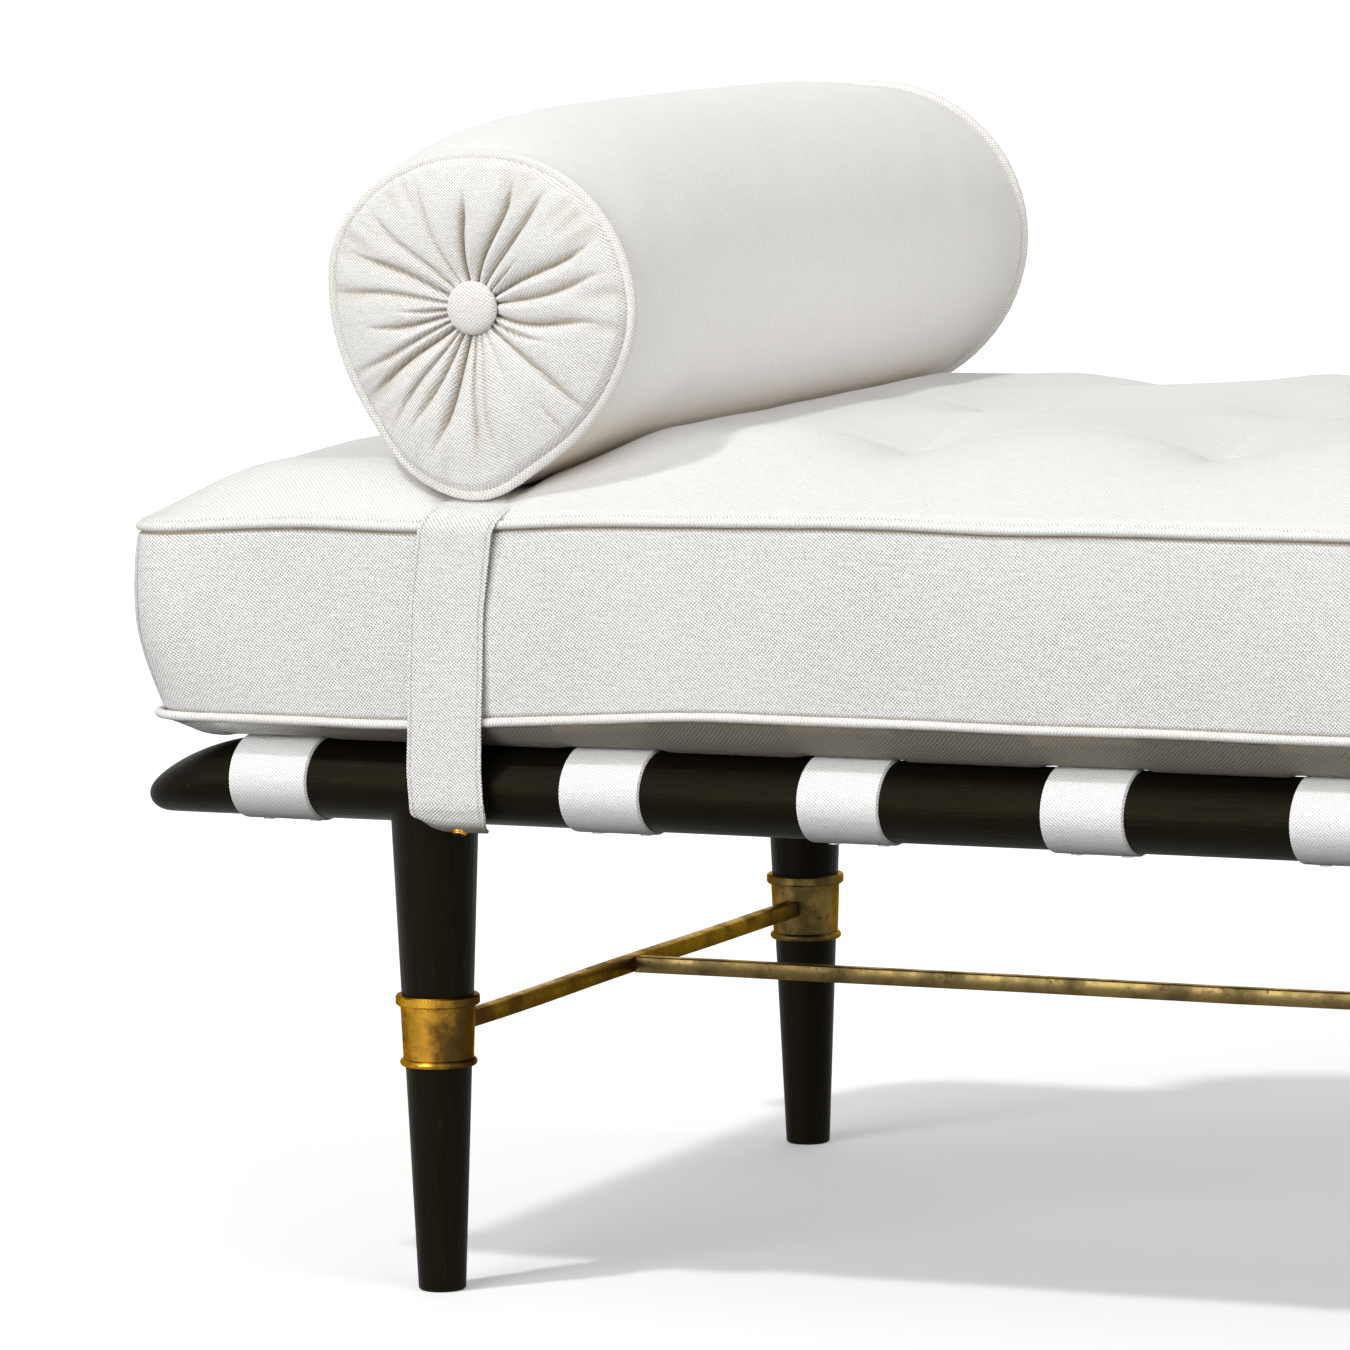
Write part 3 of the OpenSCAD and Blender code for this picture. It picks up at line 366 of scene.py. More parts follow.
# The bolster's cover takes a warm painted shade towards its underside.
SMOOTH_COVER = cloth_material("cotton_cover_bolster", (0.945, 0.94, 0.93), (0.69, 0.682, 0.665), 0.0018,
                              relief=0.00022, tone=0.9, painted_shade_colour=(0.6, 0.5, 0.37))
# The gathered ends take a brown painted shade along their creases.
GATHERED = cloth_material("cotton_gathered", (0.965, 0.957, 0.935), (0.5, 0.48, 0.44),
                          painted_shade_colour=(0.44, 0.345, 0.22))
PIPING = cloth_material("cotton_piping", (0.89, 0.88, 0.85), (0.5, 0.475, 0.42), slant=0.6,
                        relief=0.0002, tone=0.8)
# The strap's ends take a painted shade where they curl under the rail.
STRAP_CLOTH = cloth_material("cotton_strap", CREAM, (0.34, 0.33, 0.31), crumple=0.0005,
                             painted_shade_colour=(0.24, 0.215, 0.175),
                             stitch=(0.0208, 0.0034, 0.0007, (0.36, 0.34, 0.3)))
WEBBING = cloth_material("cotton_webbing", (0.95, 0.95, 0.947), (0.56, 0.556, 0.545),
                         relief=0.00035, tone=0.9, crumple=0.0004)
RAIL_WOOD = timber_material("ebonised_rail", (0, 0, 0))
CROSS_WOOD = timber_material("ebonised_cross_rail", (0, 0, math.radians(90)))
LEG_WOOD = timber_material("ebonised_leg", (0, math.radians(90), 0))
BRASS = brass_material("brass_ferrule", (0.43, 0.225, 0.024), (0.16, 0.08, 0.012), 0.55, dark_side=0.85)
DULL_BRASS = brass_material("brass_ferrule_rear", (0.18, 0.12, 0.035), (0.06, 0.042, 0.016), 0.58)
SNAP_BRASS = brass_material("brass_snap", (0.52, 0.29, 0.05), (0.3, 0.16, 0.03), 0.4)
BAR_BRASS = brass_material("brass_bar", (0.135, 0.096, 0.036), (0.06, 0.042, 0.018), 0.52, 0.5)
STEEL = plain_material("steel_fastener", (0.46, 0.46, 0.47), (0.34, 0.34, 0.35), 300, 0.32, 1.0, 0.00005)
TWINE = plain_material("flax_twine", (0.5, 0.42, 0.28), (0.38, 0.31, 0.2), 900, 0.8)


# Modelling helpers

def choose(piece):
    """Makes a piece the only selected one, and the one that edits go to."""
    bpy.ops.object.select_all(action="DESELECT")
    piece.select_set(True)
    bpy.context.view_layer.objects.active = piece


def open_mesh(choice="SELECT"):
    """Opens the active piece's mesh, with all or none of it selected, or with None as it was left."""
    bpy.ops.object.mode_set(mode="EDIT")
    if choice:
        bpy.ops.mesh.select_all(action=choice)


def shut_mesh():
    bpy.ops.object.mode_set(mode="OBJECT")


def finish_mesh(piece, merge=0.0, angle=None):
    """Merges what meets, turns the faces outwards and smooths the piece."""
    choose(piece)
    open_mesh()
    if merge:
        bpy.ops.mesh.remove_doubles(threshold=merge)
    bpy.ops.mesh.normals_make_consistent(inside=False)
    shut_mesh()
    if angle is None:
        bpy.ops.object.shade_smooth()
    else:
        bpy.ops.object.shade_smooth_by_angle(angle=angle)
    return piece


def close_ends(piece, angle=None):
    """Closes the open ends of a piece with flat faces."""
    choose(piece)
    open_mesh()
    bpy.ops.mesh.fill_holes(sides=0)
    bpy.ops.mesh.select_all(action="SELECT")
    bpy.ops.mesh.normals_make_consistent(inside=False)
    shut_mesh()
    if angle is not None:
        bpy.ops.object.shade_smooth_by_angle(angle=angle)
    return piece


def close_hole(piece, middle, reach):
    """Merges the ends of a round grid, and closes the hole that lies round middle (X and Z) within reach."""
    choose(piece)
    open_mesh()
    bpy.ops.mesh.select_mode(type="VERT")
    bpy.ops.mesh.remove_doubles(threshold=0.00001)
    bpy.ops.mesh.select_all(action="DESELECT")
    shut_mesh()
    points = grid_coords(piece)
    inside = np.hypot(points[:, 0] - middle[0], points[:, 2] - middle[1]) < reach
    piece.data.vertices.foreach_set("select", inside)
    open_mesh(None)
    bpy.ops.mesh.edge_face_add()
    shut_mesh()


def grid_coords(piece):
    flat = np.empty(len(piece.data.vertices) * 3)
    piece.data.vertices.foreach_get("co", flat)
    return flat.reshape(-1, 3)


def set_coords(piece, points):
    piece.data.vertices.foreach_set("co", np.ascontiguousarray(points, dtype=float).ravel())
    piece.data.update()


def set_painted_shade(piece, values):
    """Writes how much painted shade each point gets, which the cloth's finish lays on as a darker, warmer
    tone.
    """
    layer = piece.data.attributes.new("painted_shade", "FLOAT", "POINT")
    layer.data.foreach_set("value", np.asarray(values, dtype=np.float32))


def laid_grid(name, columns, rows, place, map_of, material):
    """A grid, each point of which is laid at place(u, v) with u and v from 0 to 1, and whose own map holds
    lengths in metres, map_of(u, v)."""
    bpy.ops.mesh.primitive_grid_add(x_subdivisions=columns, y_subdivisions=rows, size=1, location=(0, 0, 0))
    piece = bpy.context.object
    piece.name = piece.data.name = name
    start = grid_coords(piece)
    u, v = start[:, 0] + 0.5, start[:, 1] + 0.5
    loops = np.empty(len(piece.data.loops), dtype=np.int32)
    piece.data.loops.foreach_get("vertex_index", loops)
    laid_map = np.stack(map_of(u, v), axis=1)[loops]
    layer = piece.data.uv_layers.active
    layer.name = "UVMap"
    layer.data.foreach_set("uv", laid_map.astype(np.float32).ravel())
    set_coords(piece, np.stack(place(u, v), axis=1))
    piece.data.materials.append(material)
    return piece


def join_pieces(name, pieces):
    choose(pieces[0])
    for piece in pieces[1:]:
        piece.select_set(True)
    bpy.ops.object.join()
    joined = bpy.context.object
    joined.name = joined.data.name = name
    return joined


def lengths_along(points):
    """Distance of each point from the first one, along their row."""
    return np.concatenate([[0], np.cumsum(np.linalg.norm(np.diff(points, axis=0), axis=1))])


def even_path(knots, count, rounds):
    """Even points along a row of knots, whose bends are softened in a number of rounds."""
    knots = np.asarray(knots)
    steps = lengths_along(knots)
    even = np.linspace(0, steps[-1], count)
    path = np.stack([np.interp(even, steps, knots[:, 0]), np.interp(even, steps, knots[:, 1])], 1)
    for _ in range(rounds):
        path[1:-1] = (path[:-2] + 2 * path[1:-1] + path[2:]) / 4
    return path


def ridge(value):
    """A soft rise from 0 to 1 with a level end."""
    return np.sin(np.pi / 2 * np.clip(value, 0, 1))


def smooth(value):
    t = np.clip(value, 0, 1)
    return t * t * (3 - 2 * t)


def bell(value, width):
    return np.exp(-(value / width) ** 2)


def cloudy(size, seed, *rows):
    """Soft, repeatable unevenness between -1 and 1, from a few crossed waves of about the given size."""
    points = np.stack(rows, 1)
    pick = np.random.default_rng(seed)
    total = np.zeros(len(points))
    for _ in range(9):
        way = pick.normal(size=points.shape[1])
        way *= TAU / size * pick.uniform(0.6, 1.5) / np.linalg.norm(way)
        total += np.sin(points @ way + pick.uniform(0, TAU))
    return total / 4.0


# Rails

def rail_section(distance):
    """Top, bottom and half depth of a rail at a distance from its tip."""
    def rounded(run, power=0.5):
        left = 1 - np.clip(distance / run, 0, 1)
        return np.clip(1 - left * left, 0, 1) ** power
    top = 0.0145 + 0.0315 * rounded(0.075, 0.85)
    bottom = 0.0105 * (1 - rounded(0.014))
    return RAIL_BOTTOM + top, RAIL_BOTTOM + bottom, RAIL_HALF_DEPTH * rounded(0.04)


def make_rail(name, side, seed):
    tip = 0.1
    rest = RAIL_HALF_LENGTH - tip

    def place(u, v):
        turn = TAU * u
        near = 2 * np.clip(1 - np.abs(2 * v - 1), 0, 1)
        distance = np.where(near < 1, tip * near ** 2, tip + (near - 1) * rest)
        distance = np.maximum(distance, 0.0003)
        top, bottom, half = rail_section(distance)
        x = RAIL_HALF_LENGTH - distance + 0.0035 * (1 - smooth(distance / 0.06))
        x = np.where(v < 0.5, -x, x)
        y = half * np.cos(turn)
        z = (top + bottom) / 2 + (top - bottom) / 2 * np.sin(turn)
        wave = 1 + 0.004 * cloudy(1.3, seed, x * 6, y * 20, z * 20)
        return x, side * RAIL_Y + y * wave, RAIL_MID + (z - RAIL_MID) * wave

    piece = laid_grid(name, 72, 180, place, lambda u, v: (u * 0.17, v * 1.9), RAIL_WOOD)
    close_ends(finish_mesh(piece, merge=0.00002))
    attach(piece, "frame")
    return piece


def make_bar(name, low, high):
    """A square brass bar with eased edges between two corners."""
    low, high = np.array(low), np.array(high)
    run = int(np.argmax(high - low))
    bpy.ops.mesh.primitive_cube_add(size=1, location=tuple((low + high) / 2), scale=tuple(high - low))
    bpy.ops.object.transform_apply(location=True, rotation=True, scale=True)
    piece = bpy.context.object
    piece.name = piece.data.name = name
    open_mesh("DESELECT")
    bpy.ops.mesh.select_mode(type="EDGE")
    shut_mesh()
    for edge in piece.data.edges:
        a, b = (piece.data.vertices[i].co for i in edge.vertices)
        edge.select = abs((b - a)[run]) > 0.02
    open_mesh(None)
    bpy.ops.mesh.bevel(offset=0.0006, segments=2)
    way = np.eye(3)[run]
    for k in range(1, 24):
        bpy.ops.mesh.select_all(action="SELECT")
        bpy.ops.mesh.bisect(plane_co=tuple(way * (low + (high - low) * k / 24)), plane_no=tuple(way))
    shut_mesh()
    points = grid_coords(piece)
    along = points[:, run]
    sway = 0.00035 * cloudy(0.35, 5 + run, along)
    points[:, 2] += sway * smooth((along - low[run]) / 0.05) * smooth((high[run] - along) / 0.05)
    set_coords(piece, points)
    piece.data.materials.append(BAR_BRASS)
    finish_mesh(piece, angle=math.radians(35))
    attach(piece, "frame")
    return piece


for rail_name, side, seed in (("side_rail_front", -1, 3), ("side_rail_rear", 1, 4)):
    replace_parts(make_rail(rail_name, side, seed), "rail_front" if side < 0 else "rail_rear")

HALF_BAR = BAR_SIDE / 2
LEG_AT_BAR = LEG_FOOT + (LEG_TOP - LEG_FOOT) * BAR_Z / LEG_HEIGHT
BAR_REACH = RAIL_Y - LEG_AT_BAR - 0.001 - BAR_CLEARANCE
LONG_REACH = LEG_X - HALF_BAR - BAR_CLEARANCE
BAR_LOW, BAR_HIGH = BAR_Z - HALF_BAR, BAR_Z + HALF_BAR
for bar_name, x in (("left", -LEG_X), ("right", LEG_X)):
    near, far = (x - HALF_BAR, -BAR_REACH, BAR_LOW), (x + HALF_BAR, BAR_REACH, BAR_HIGH)
    bar = make_bar(f"cross_bar_{bar_name}", near, far)
    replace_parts(bar, f"cross_stretcher_{bar_name}")
long_bar = make_bar("long_bar", (-LONG_REACH, -HALF_BAR, BAR_LOW), (LONG_REACH, HALF_BAR, BAR_HIGH))
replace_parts(long_bar, "long_stretcher")


# Webbing straps

def strap_section(u, size):
    """Outline of a flat strap with rounded edges: place across the width, and height, for u from 0 to 1."""
    width, thick = size
    half, edge = width / 2 - thick / 2, thick / 2
    flat, bend = 2 * half, np.pi * edge
    length = u * (2 * flat + 2 * bend)
    back = length - flat - bend
    right, left = (length - flat) / edge, (back - flat) / edge
    reached = [length < flat, length < flat + bend, length < 2 * flat + bend]
    across = np.select(reached, [-half + length, half + edge * np.sin(right), half - back],
                       -half - edge * np.sin(left))
    return across, np.select(reached, [edge, edge * np.cos(right), -edge], -edge * np.cos(left))


def straight(x):
    return lambda v: np.full_like(v, x)


def strap_along(name, path, shift, size, material, columns, seed, ripple):
    """A strap whose middle follows the points of path, (y, z) each, and lies at x = shift(v)."""
    steps = lengths_along(path)
    way = np.gradient(path, steps, axis=0)
    way /= np.linalg.norm(way, axis=1, keepdims=True)
    share = np.linspace(0, 1, len(path))

    def place(u, v):
        across, up = strap_section(u, size)
        y, z, ty, tz, at = (np.interp(v, share, row) for row in (*path.T, *way.T, steps))
        up = up + ripple * cloudy(0.05, seed, across * 3, at)
        narrow = 1 - 0.006 * (1 + cloudy(0.06, seed + 1, at))
        return shift(v) + across * narrow, y - tz * up, z + ty * up

    def cloth_map(u, v):
        return strap_section(u, size)[0], np.interp(v, share, steps) + 0.013 * seed

    piece = laid_grid(name, columns, len(path) - 1, place, cloth_map, material)
    return close_ends(finish_mesh(piece, merge=0.00001), math.radians(50))


def hook_points():
    """Middle of a webbing strap round the front rail, from its end beneath to the rail's top, as (y, z)."""
    angles = np.radians(np.linspace(299, 90, 30))
    a, b = RAIL_HALF_DEPTH, RAIL_HEIGHT / 2
    point = np.stack([a * np.cos(angles), b * np.sin(angles)], 1)
    normal = np.stack([np.cos(angles) / a, np.sin(angles) / b], 1)
    normal /= np.linalg.norm(normal, axis=1, keepdims=True)
    return point + (WEB_THICK / 2 + 0.0001) * normal + np.array([-RAIL_Y, RAIL_MID])


WEB_STEP = 2 * (LEG_X - WEB_INSIDE) / 9
WEB_PLACES = ([-LEG_X - WEB_OUTSIDE] + [-LEG_X + WEB_INSIDE + k * WEB_STEP for k in range(10)]
              + [LEG_X + WEB_OUTSIDE])


def make_webbing():
    hook = hook_points()
    across = np.stack([np.linspace(hook[-1, 0], -hook[-1, 0], 14)[1:-1], np.full(12, hook[-1, 1])], 1)
    path = np.concatenate([hook, across, hook[::-1] * [-1, 1]])
    for k, x in enumerate(WEB_PLACES):
        name = f"webbing_strap_{k + 1:02d}"
        piece = strap_along(name, path, straight(x), WEB_SIZE, WEBBING, 30, k + 1, 0.0001)
        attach(piece, "frame")
        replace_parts(piece, f"webbing_{k + 1:02d}")


make_webbing()


# Form of the bolster

# Millimetres from the button to the front seam, every 22.5 degrees from the right-hand side upwards
FRONT_REACH = (98.7, 97.2, 94.9, 91.8, 89.2, 90.7, 93.8, 96.1,
               92.2, 90.4, 93.8, 105.2, 109.4, 98.6, 95.7, 96.4)
# Middle of the front seam, of the section halfway and of the rear seam, each as X and Z
FRONT_MIDDLE, HALFWAY_MIDDLE, REAR_MIDDLE = (-0.7349, 0.5697), (-0.737, 0.5715), (-0.7303, 0.5745)
FRONT_SEAM_Y, REAR_SEAM_Y = -0.287, 0.2962
BOLSTER_LENGTH = REAR_SEAM_Y - FRONT_SEAM_Y
HALFWAY_REACH, REAR_REACH = 0.1065, 0.0974
# Each end of the bolster: its side, the share of the length where it lies, the middle and Y of its seam
FRONT_END, REAR_END = (-1, 0.0, FRONT_MIDDLE, FRONT_SEAM_Y), (1, 1.0, REAR_MIDDLE, REAR_SEAM_Y)


def periodic(values, turn):
    """Smooth closed curve through even steps of a turn."""
    values = np.asarray(values, float)
    n = len(values)
    k = (turn / TAU * n) % n
    i = np.floor(k).astype(int)
    t = k - i
    a, b, c, d = (values[(i + j) % n] for j in (-1, 0, 1, 2))
    return b + 0.5 * t * (c - a + t * (2 * a - 5 * b + 4 * c - d + t * (3 * (b - c) + d - a)))


def round_middle(middle, reach, turn):
    return np.stack([middle[0] + reach * np.cos(turn), middle[1] + reach * np.sin(turn)])


def section_point(turn, share):
    """Point of the bolster's section: turn round it, and share from its front seam to its rear one."""
    front = round_middle(FRONT_MIDDLE, periodic(FRONT_REACH, turn) / 1000 - WELT, turn)
    rear = round_middle(REAR_MIDDLE, REAR_REACH - WELT + 0.0012 * np.sin(3 * turn + 1), turn)
    middle = round_middle(HALFWAY_MIDDLE, HALFWAY_REACH, turn)
    power = np.where(share < 0.5, 3.6 + 3.0 * bell(turn - 2.3, 0.6), 3.3)
    to_middle = 1 - np.abs(2 * share - 1) ** power
    return np.where(share < 0.5, front, rear) * (1 - to_middle) + middle * to_middle


LOW_SHARES = np.linspace(0, 1, 61)
LOW_PLACES = np.linspace(BOLSTER_X - 0.112, BOLSTER_X + 0.112, 225)


def bolster_low_side():
    """Height of the bolster's lower side over even shares and even places in X, and far up beside it."""
    turns = np.linspace(math.pi, TAU, 241)
    rows = []
    for share in LOW_SHARES:
        x, z = section_point(turns, share)
        order = np.argsort(x)
        rows.append(np.interp(LOW_PLACES, x[order], z[order], left=0.6, right=0.6))
    return np.array(rows)


LOW_SIDE = bolster_low_side()


def bolster_under(x, y):
    """Height of the bolster's lower side over a point of the mattress."""
    a = np.clip((y - FRONT_SEAM_Y) / BOLSTER_LENGTH, 0, 1) * (len(LOW_SHARES) - 1)
    b = np.clip((x - LOW_PLACES[0]) / (LOW_PLACES[1] - LOW_PLACES[0]), 0, len(LOW_PLACES) - 1)
    i, j = np.minimum(a.astype(int), len(LOW_SHARES) - 2), np.minimum(b.astype(int), len(LOW_PLACES) - 2)
    a, b = a - i, b - j
    return ((LOW_SIDE[i, j] * (1 - a) + LOW_SIDE[i + 1, j] * a) * (1 - b)
            + (LOW_SIDE[i, j + 1] * (1 - a) + LOW_SIDE[i + 1, j + 1] * a) * b)


# Mattress

# Places along the front edge, and how many millimetres its seams lie there from their level
HIGH_WAVE = ((-0.95, -14.3), (-0.934, -13.9), (-0.895, -11.1), (-0.856, -8.3), (-0.818, -7.9),
             (-0.78, -9.5), (-0.705, -5.4), (-0.668, -2.7), (-0.631, -2.3), (-0.557, -0.9), (-0.485, 0.5),
             (-0.413, -1.4), (-0.342, 0.5), (-0.306, -0.2), (-0.238, 0.7), (-0.1, 0.2), (0.03, -1.2),
             (0.15, 0.4), (0.28, -0.9), (0.42, 0.6), (0.55, -0.8), (0.68, 0.5), (0.8, -0.9), (0.9, -2.0),
             (0.95, -3.5))
LOW_WAVE = ((-0.95, -11.6), (-0.9, -11.4), (-0.82, -11.5), (-0.795, -12.2), (-0.694, -6.3), (-0.595, 0.0),
            (-0.565, -0.4), (-0.444, -0.1), (-0.414, -0.8), (-0.308, 0.3), (-0.256, -0.4), (-0.1, 0.4),
            (0.05, -1.0), (0.18, 0.3), (0.32, -0.9), (0.45, 0.4), (0.6, -0.8), (0.75, 0.2), (0.88, -1.5),
            (0.95, -3.0))


def seam_lift(wave, x, y):
    """How far a seam or the cloth near it lies from its level: the front as measured, the rear alike."""
    places, lifts = np.array(wave).T
    lifts = lifts / 1000
    front = sum(np.interp(x + d, places, lifts) for d in (-0.024, -0.012, 0, 0.012, 0.024)) / 5
    rear = sum(np.interp(x * 0.97 + d + 0.011, places, lifts) for d in (-0.05, -0.02, 0.02, 0.05)) / 4
    share = smooth((y / HALF_Y + 1) / 2)
    return front * (1 - share) + rear * share


def low_rim(x, y):
    return LOW_SEAM - RIM_UNDER + seam_lift(LOW_WAVE, x, y)


def high_rim(x, y):
    return HIGH_SEAM + RIM_OVER + seam_lift(HIGH_WAVE, x, y)


def in_corner(x, y):
    """Keeps a point of the plan inside the rounded corners."""
    cx, cy = HALF_X - CORNER, HALF_Y - CORNER
    dx, dy = np.abs(x) - cx, np.abs(y) - cy
    outside = (dx > 0) & (dy > 0)
    scale = np.where(outside, np.maximum(dx, dy) / np.maximum(np.hypot(dx, dy), 1e-9), 1)
    return (np.where(outside, np.sign(x) * (cx + dx * scale), x),
            np.where(outside, np.sign(y) * (cy + dy * scale), y))


def tuft_shape(x, y):
    """Hollow at the tufts, and the creases that run between them and on towards the edges."""
    x = x + np.interp(y, (-TUFT_PITCH_Y, 0, TUFT_PITCH_Y), (-0.007, 0.003, -0.024))
    u, v = (x - TUFT_FIRST_X) / TUFT_PITCH_X, y / TUFT_PITCH_Y
    column, row = np.clip(np.round(u), 0, TUFT_COLUMNS - 1), np.clip(np.round(v), -1, 1)
    du, dv = (u - column) * TUFT_PITCH_X, (v - row) * TUFT_PITCH_Y
    inside_x = smooth((u + 0.62) / 0.4) * smooth((TUFT_COLUMNS - 0.38 - u) / 0.4)
    inside_y = smooth((1.5 - np.abs(v)) / 0.4)

    def crease(off, broad_depth, broad, fine_depth):
        return broad_depth * np.exp(-np.abs(off) / broad) + fine_depth * np.exp(-np.abs(off) / 0.004)

    wide = (np.cos(np.pi * np.clip(u - column, -0.5, 0.5)) * np.cos(np.pi * np.clip(v - row, -0.5, 0.5))) ** 2
    near = np.exp(-np.hypot(du, dv) / 0.02)
    hollow = (0.0075 * wide + (0.0058 + 0.003 * (row > 0)) * near) * inside_x * inside_y
    bow_x = dv + 0.006 * np.sin(TAU * 0.5 * (u - column)) - 0.004 * np.sin(5.1 * u + 2 * row)
    crease_x = crease(bow_x, 0.002, 0.016, 0.0013) * (0.3 + 0.7 * np.exp(-np.abs(du) / 0.045)) * inside_x
    bow_y = du - 0.1 * dv + 0.004 * np.sin(30 * dv + column)
    crease_y = crease(bow_y, 0.0018, 0.014, 0.0014) * bell(dv, 0.09) * inside_y
    crease_y *= smooth((u + 0.3) / 0.2) * smooth((TUFT_COLUMNS - 0.7 - u) / 0.2)
    swell = 0.0024 * np.abs(np.sin(np.pi * u)) * inside_x * (0.45 + 0.55 * np.cos(np.pi * v) ** 2)
    return swell - hollow - crease_x - crease_y


def rounded_off(x, y):
    """Takes the crown down to nothing along the rounded corners: 1 inside, 0 at the corner's round."""
    dx = np.clip(np.abs(x) - HALF_X + CORNER, 0, None) / CORNER
    dy = np.clip(np.abs(y) - HALF_Y + CORNER, 0, None) / CORNER
    return np.clip((1 - np.hypot(dx, dy) + 1e-6) / (1 - np.maximum(dx, dy) + 1e-6), 0, 1)


# The bolster's print: softness of its edge, and how far it and its strap press in
PRINT_EDGE, PRESSED, STRAP_PRESSED = 0.006, 0.0006, 0.0026


def cushion_top(x, y):
    """Height of the cushion's top, its crown or the bolster's print, and how close to their meeting it is."""
    to_seat = smooth((x + 0.8) / 0.13)
    across = ridge((HALF_Y - np.abs(y)) / (0.041 + 0.071 * to_seat))
    along = ridge((HALF_X - np.abs(x)) / (0.095 + 0.03 * to_seat)) * rounded_off(x, y)
    rear = np.clip((y + HALF_Y) / (2 * HALF_Y), 0, 1)
    full = (0.0304 + 0.0167 * rear) * (1 - to_seat) + (0.0425 + tuft_shape(x, y)) * to_seat
    soft = 0.0007 * cloudy(0.12, 21, x, y) * across * along
    crown = high_rim(x, y) + full * across * along + soft
    under_strap = smooth((0.034 - np.abs(x - BOLSTER_X + 0.001)) / 0.01)
    pressed = bolster_under(x, y) - PRESSED - STRAP_PRESSED * under_strap
    apart = np.abs(crown - pressed)
    crevice = PRINT_EDGE * np.log1p(np.exp(-apart / PRINT_EDGE)) * smooth((HALF_Y - np.abs(y)) / 0.014)
    return np.minimum(crown, pressed) - crevice, np.exp(-apart / 0.004)


END_LEAN, LEAN_RUN, END_PUSH = 0.01, 0.25, 0.006


def side_lean(x):
    """How far the left end's lower edge lies inside its upper one."""
    return END_LEAN * smooth((LEAN_RUN - HALF_X - x) / LEAN_RUN)


def painted_shade_below(x):
    """How much painted shade the underside's cloth gets: none at the left end, most over the rails."""
    return 0.92 * smooth((x + 0.935) / 0.12)


def pushed_out(x, level):
    """The filling pushes the ends of the cushion out, most of all above its lower seam."""
    return x + np.sign(x) * END_PUSH * smooth((np.abs(x) - 0.86) / 0.09) * smooth(level / 0.5)


def seam_groove(level):
    """The narrow line where the boxing turns in beside each cord."""
    return bell(level - 0.048, 0.008) + bell(1 - level - 0.061, 0.008)


def seam_tuck(level):
    """How far the boxing draws in at its seams, and swells between them, at a level from 0 to 1."""
    swell = 0.003 * np.sin(np.pi * level) ** 0.7
    tuck = 0.0024 * (np.exp(-level / 0.022) + np.exp(-(1 - level) / 0.022))
    return swell - tuck - 0.0022 * seam_groove(level)


def spread(v, knots):
    return np.interp(v, np.linspace(0, 1, len(knots)), knots)


def side_levels():
    """Rows of the boxing from its lower edge, 0, to its upper one, 1, close together at both seams."""
    low = [0, 0.012, 0.024, 0.034, 0.041, 0.048, 0.055, 0.062, 0.072, 0.09, 0.12, 0.16, 0.21]
    rows = np.array(low + list(np.linspace(0.26, 0.72, 9, endpoint=False)) + [1 - a for a in low[::-1]])
    upper = rows[-12:-1]
    rows[-12:-1] = upper - 0.013 * smooth((upper - 0.85) / 0.05) * smooth((0.995 - upper) / 0.02)
    return rows


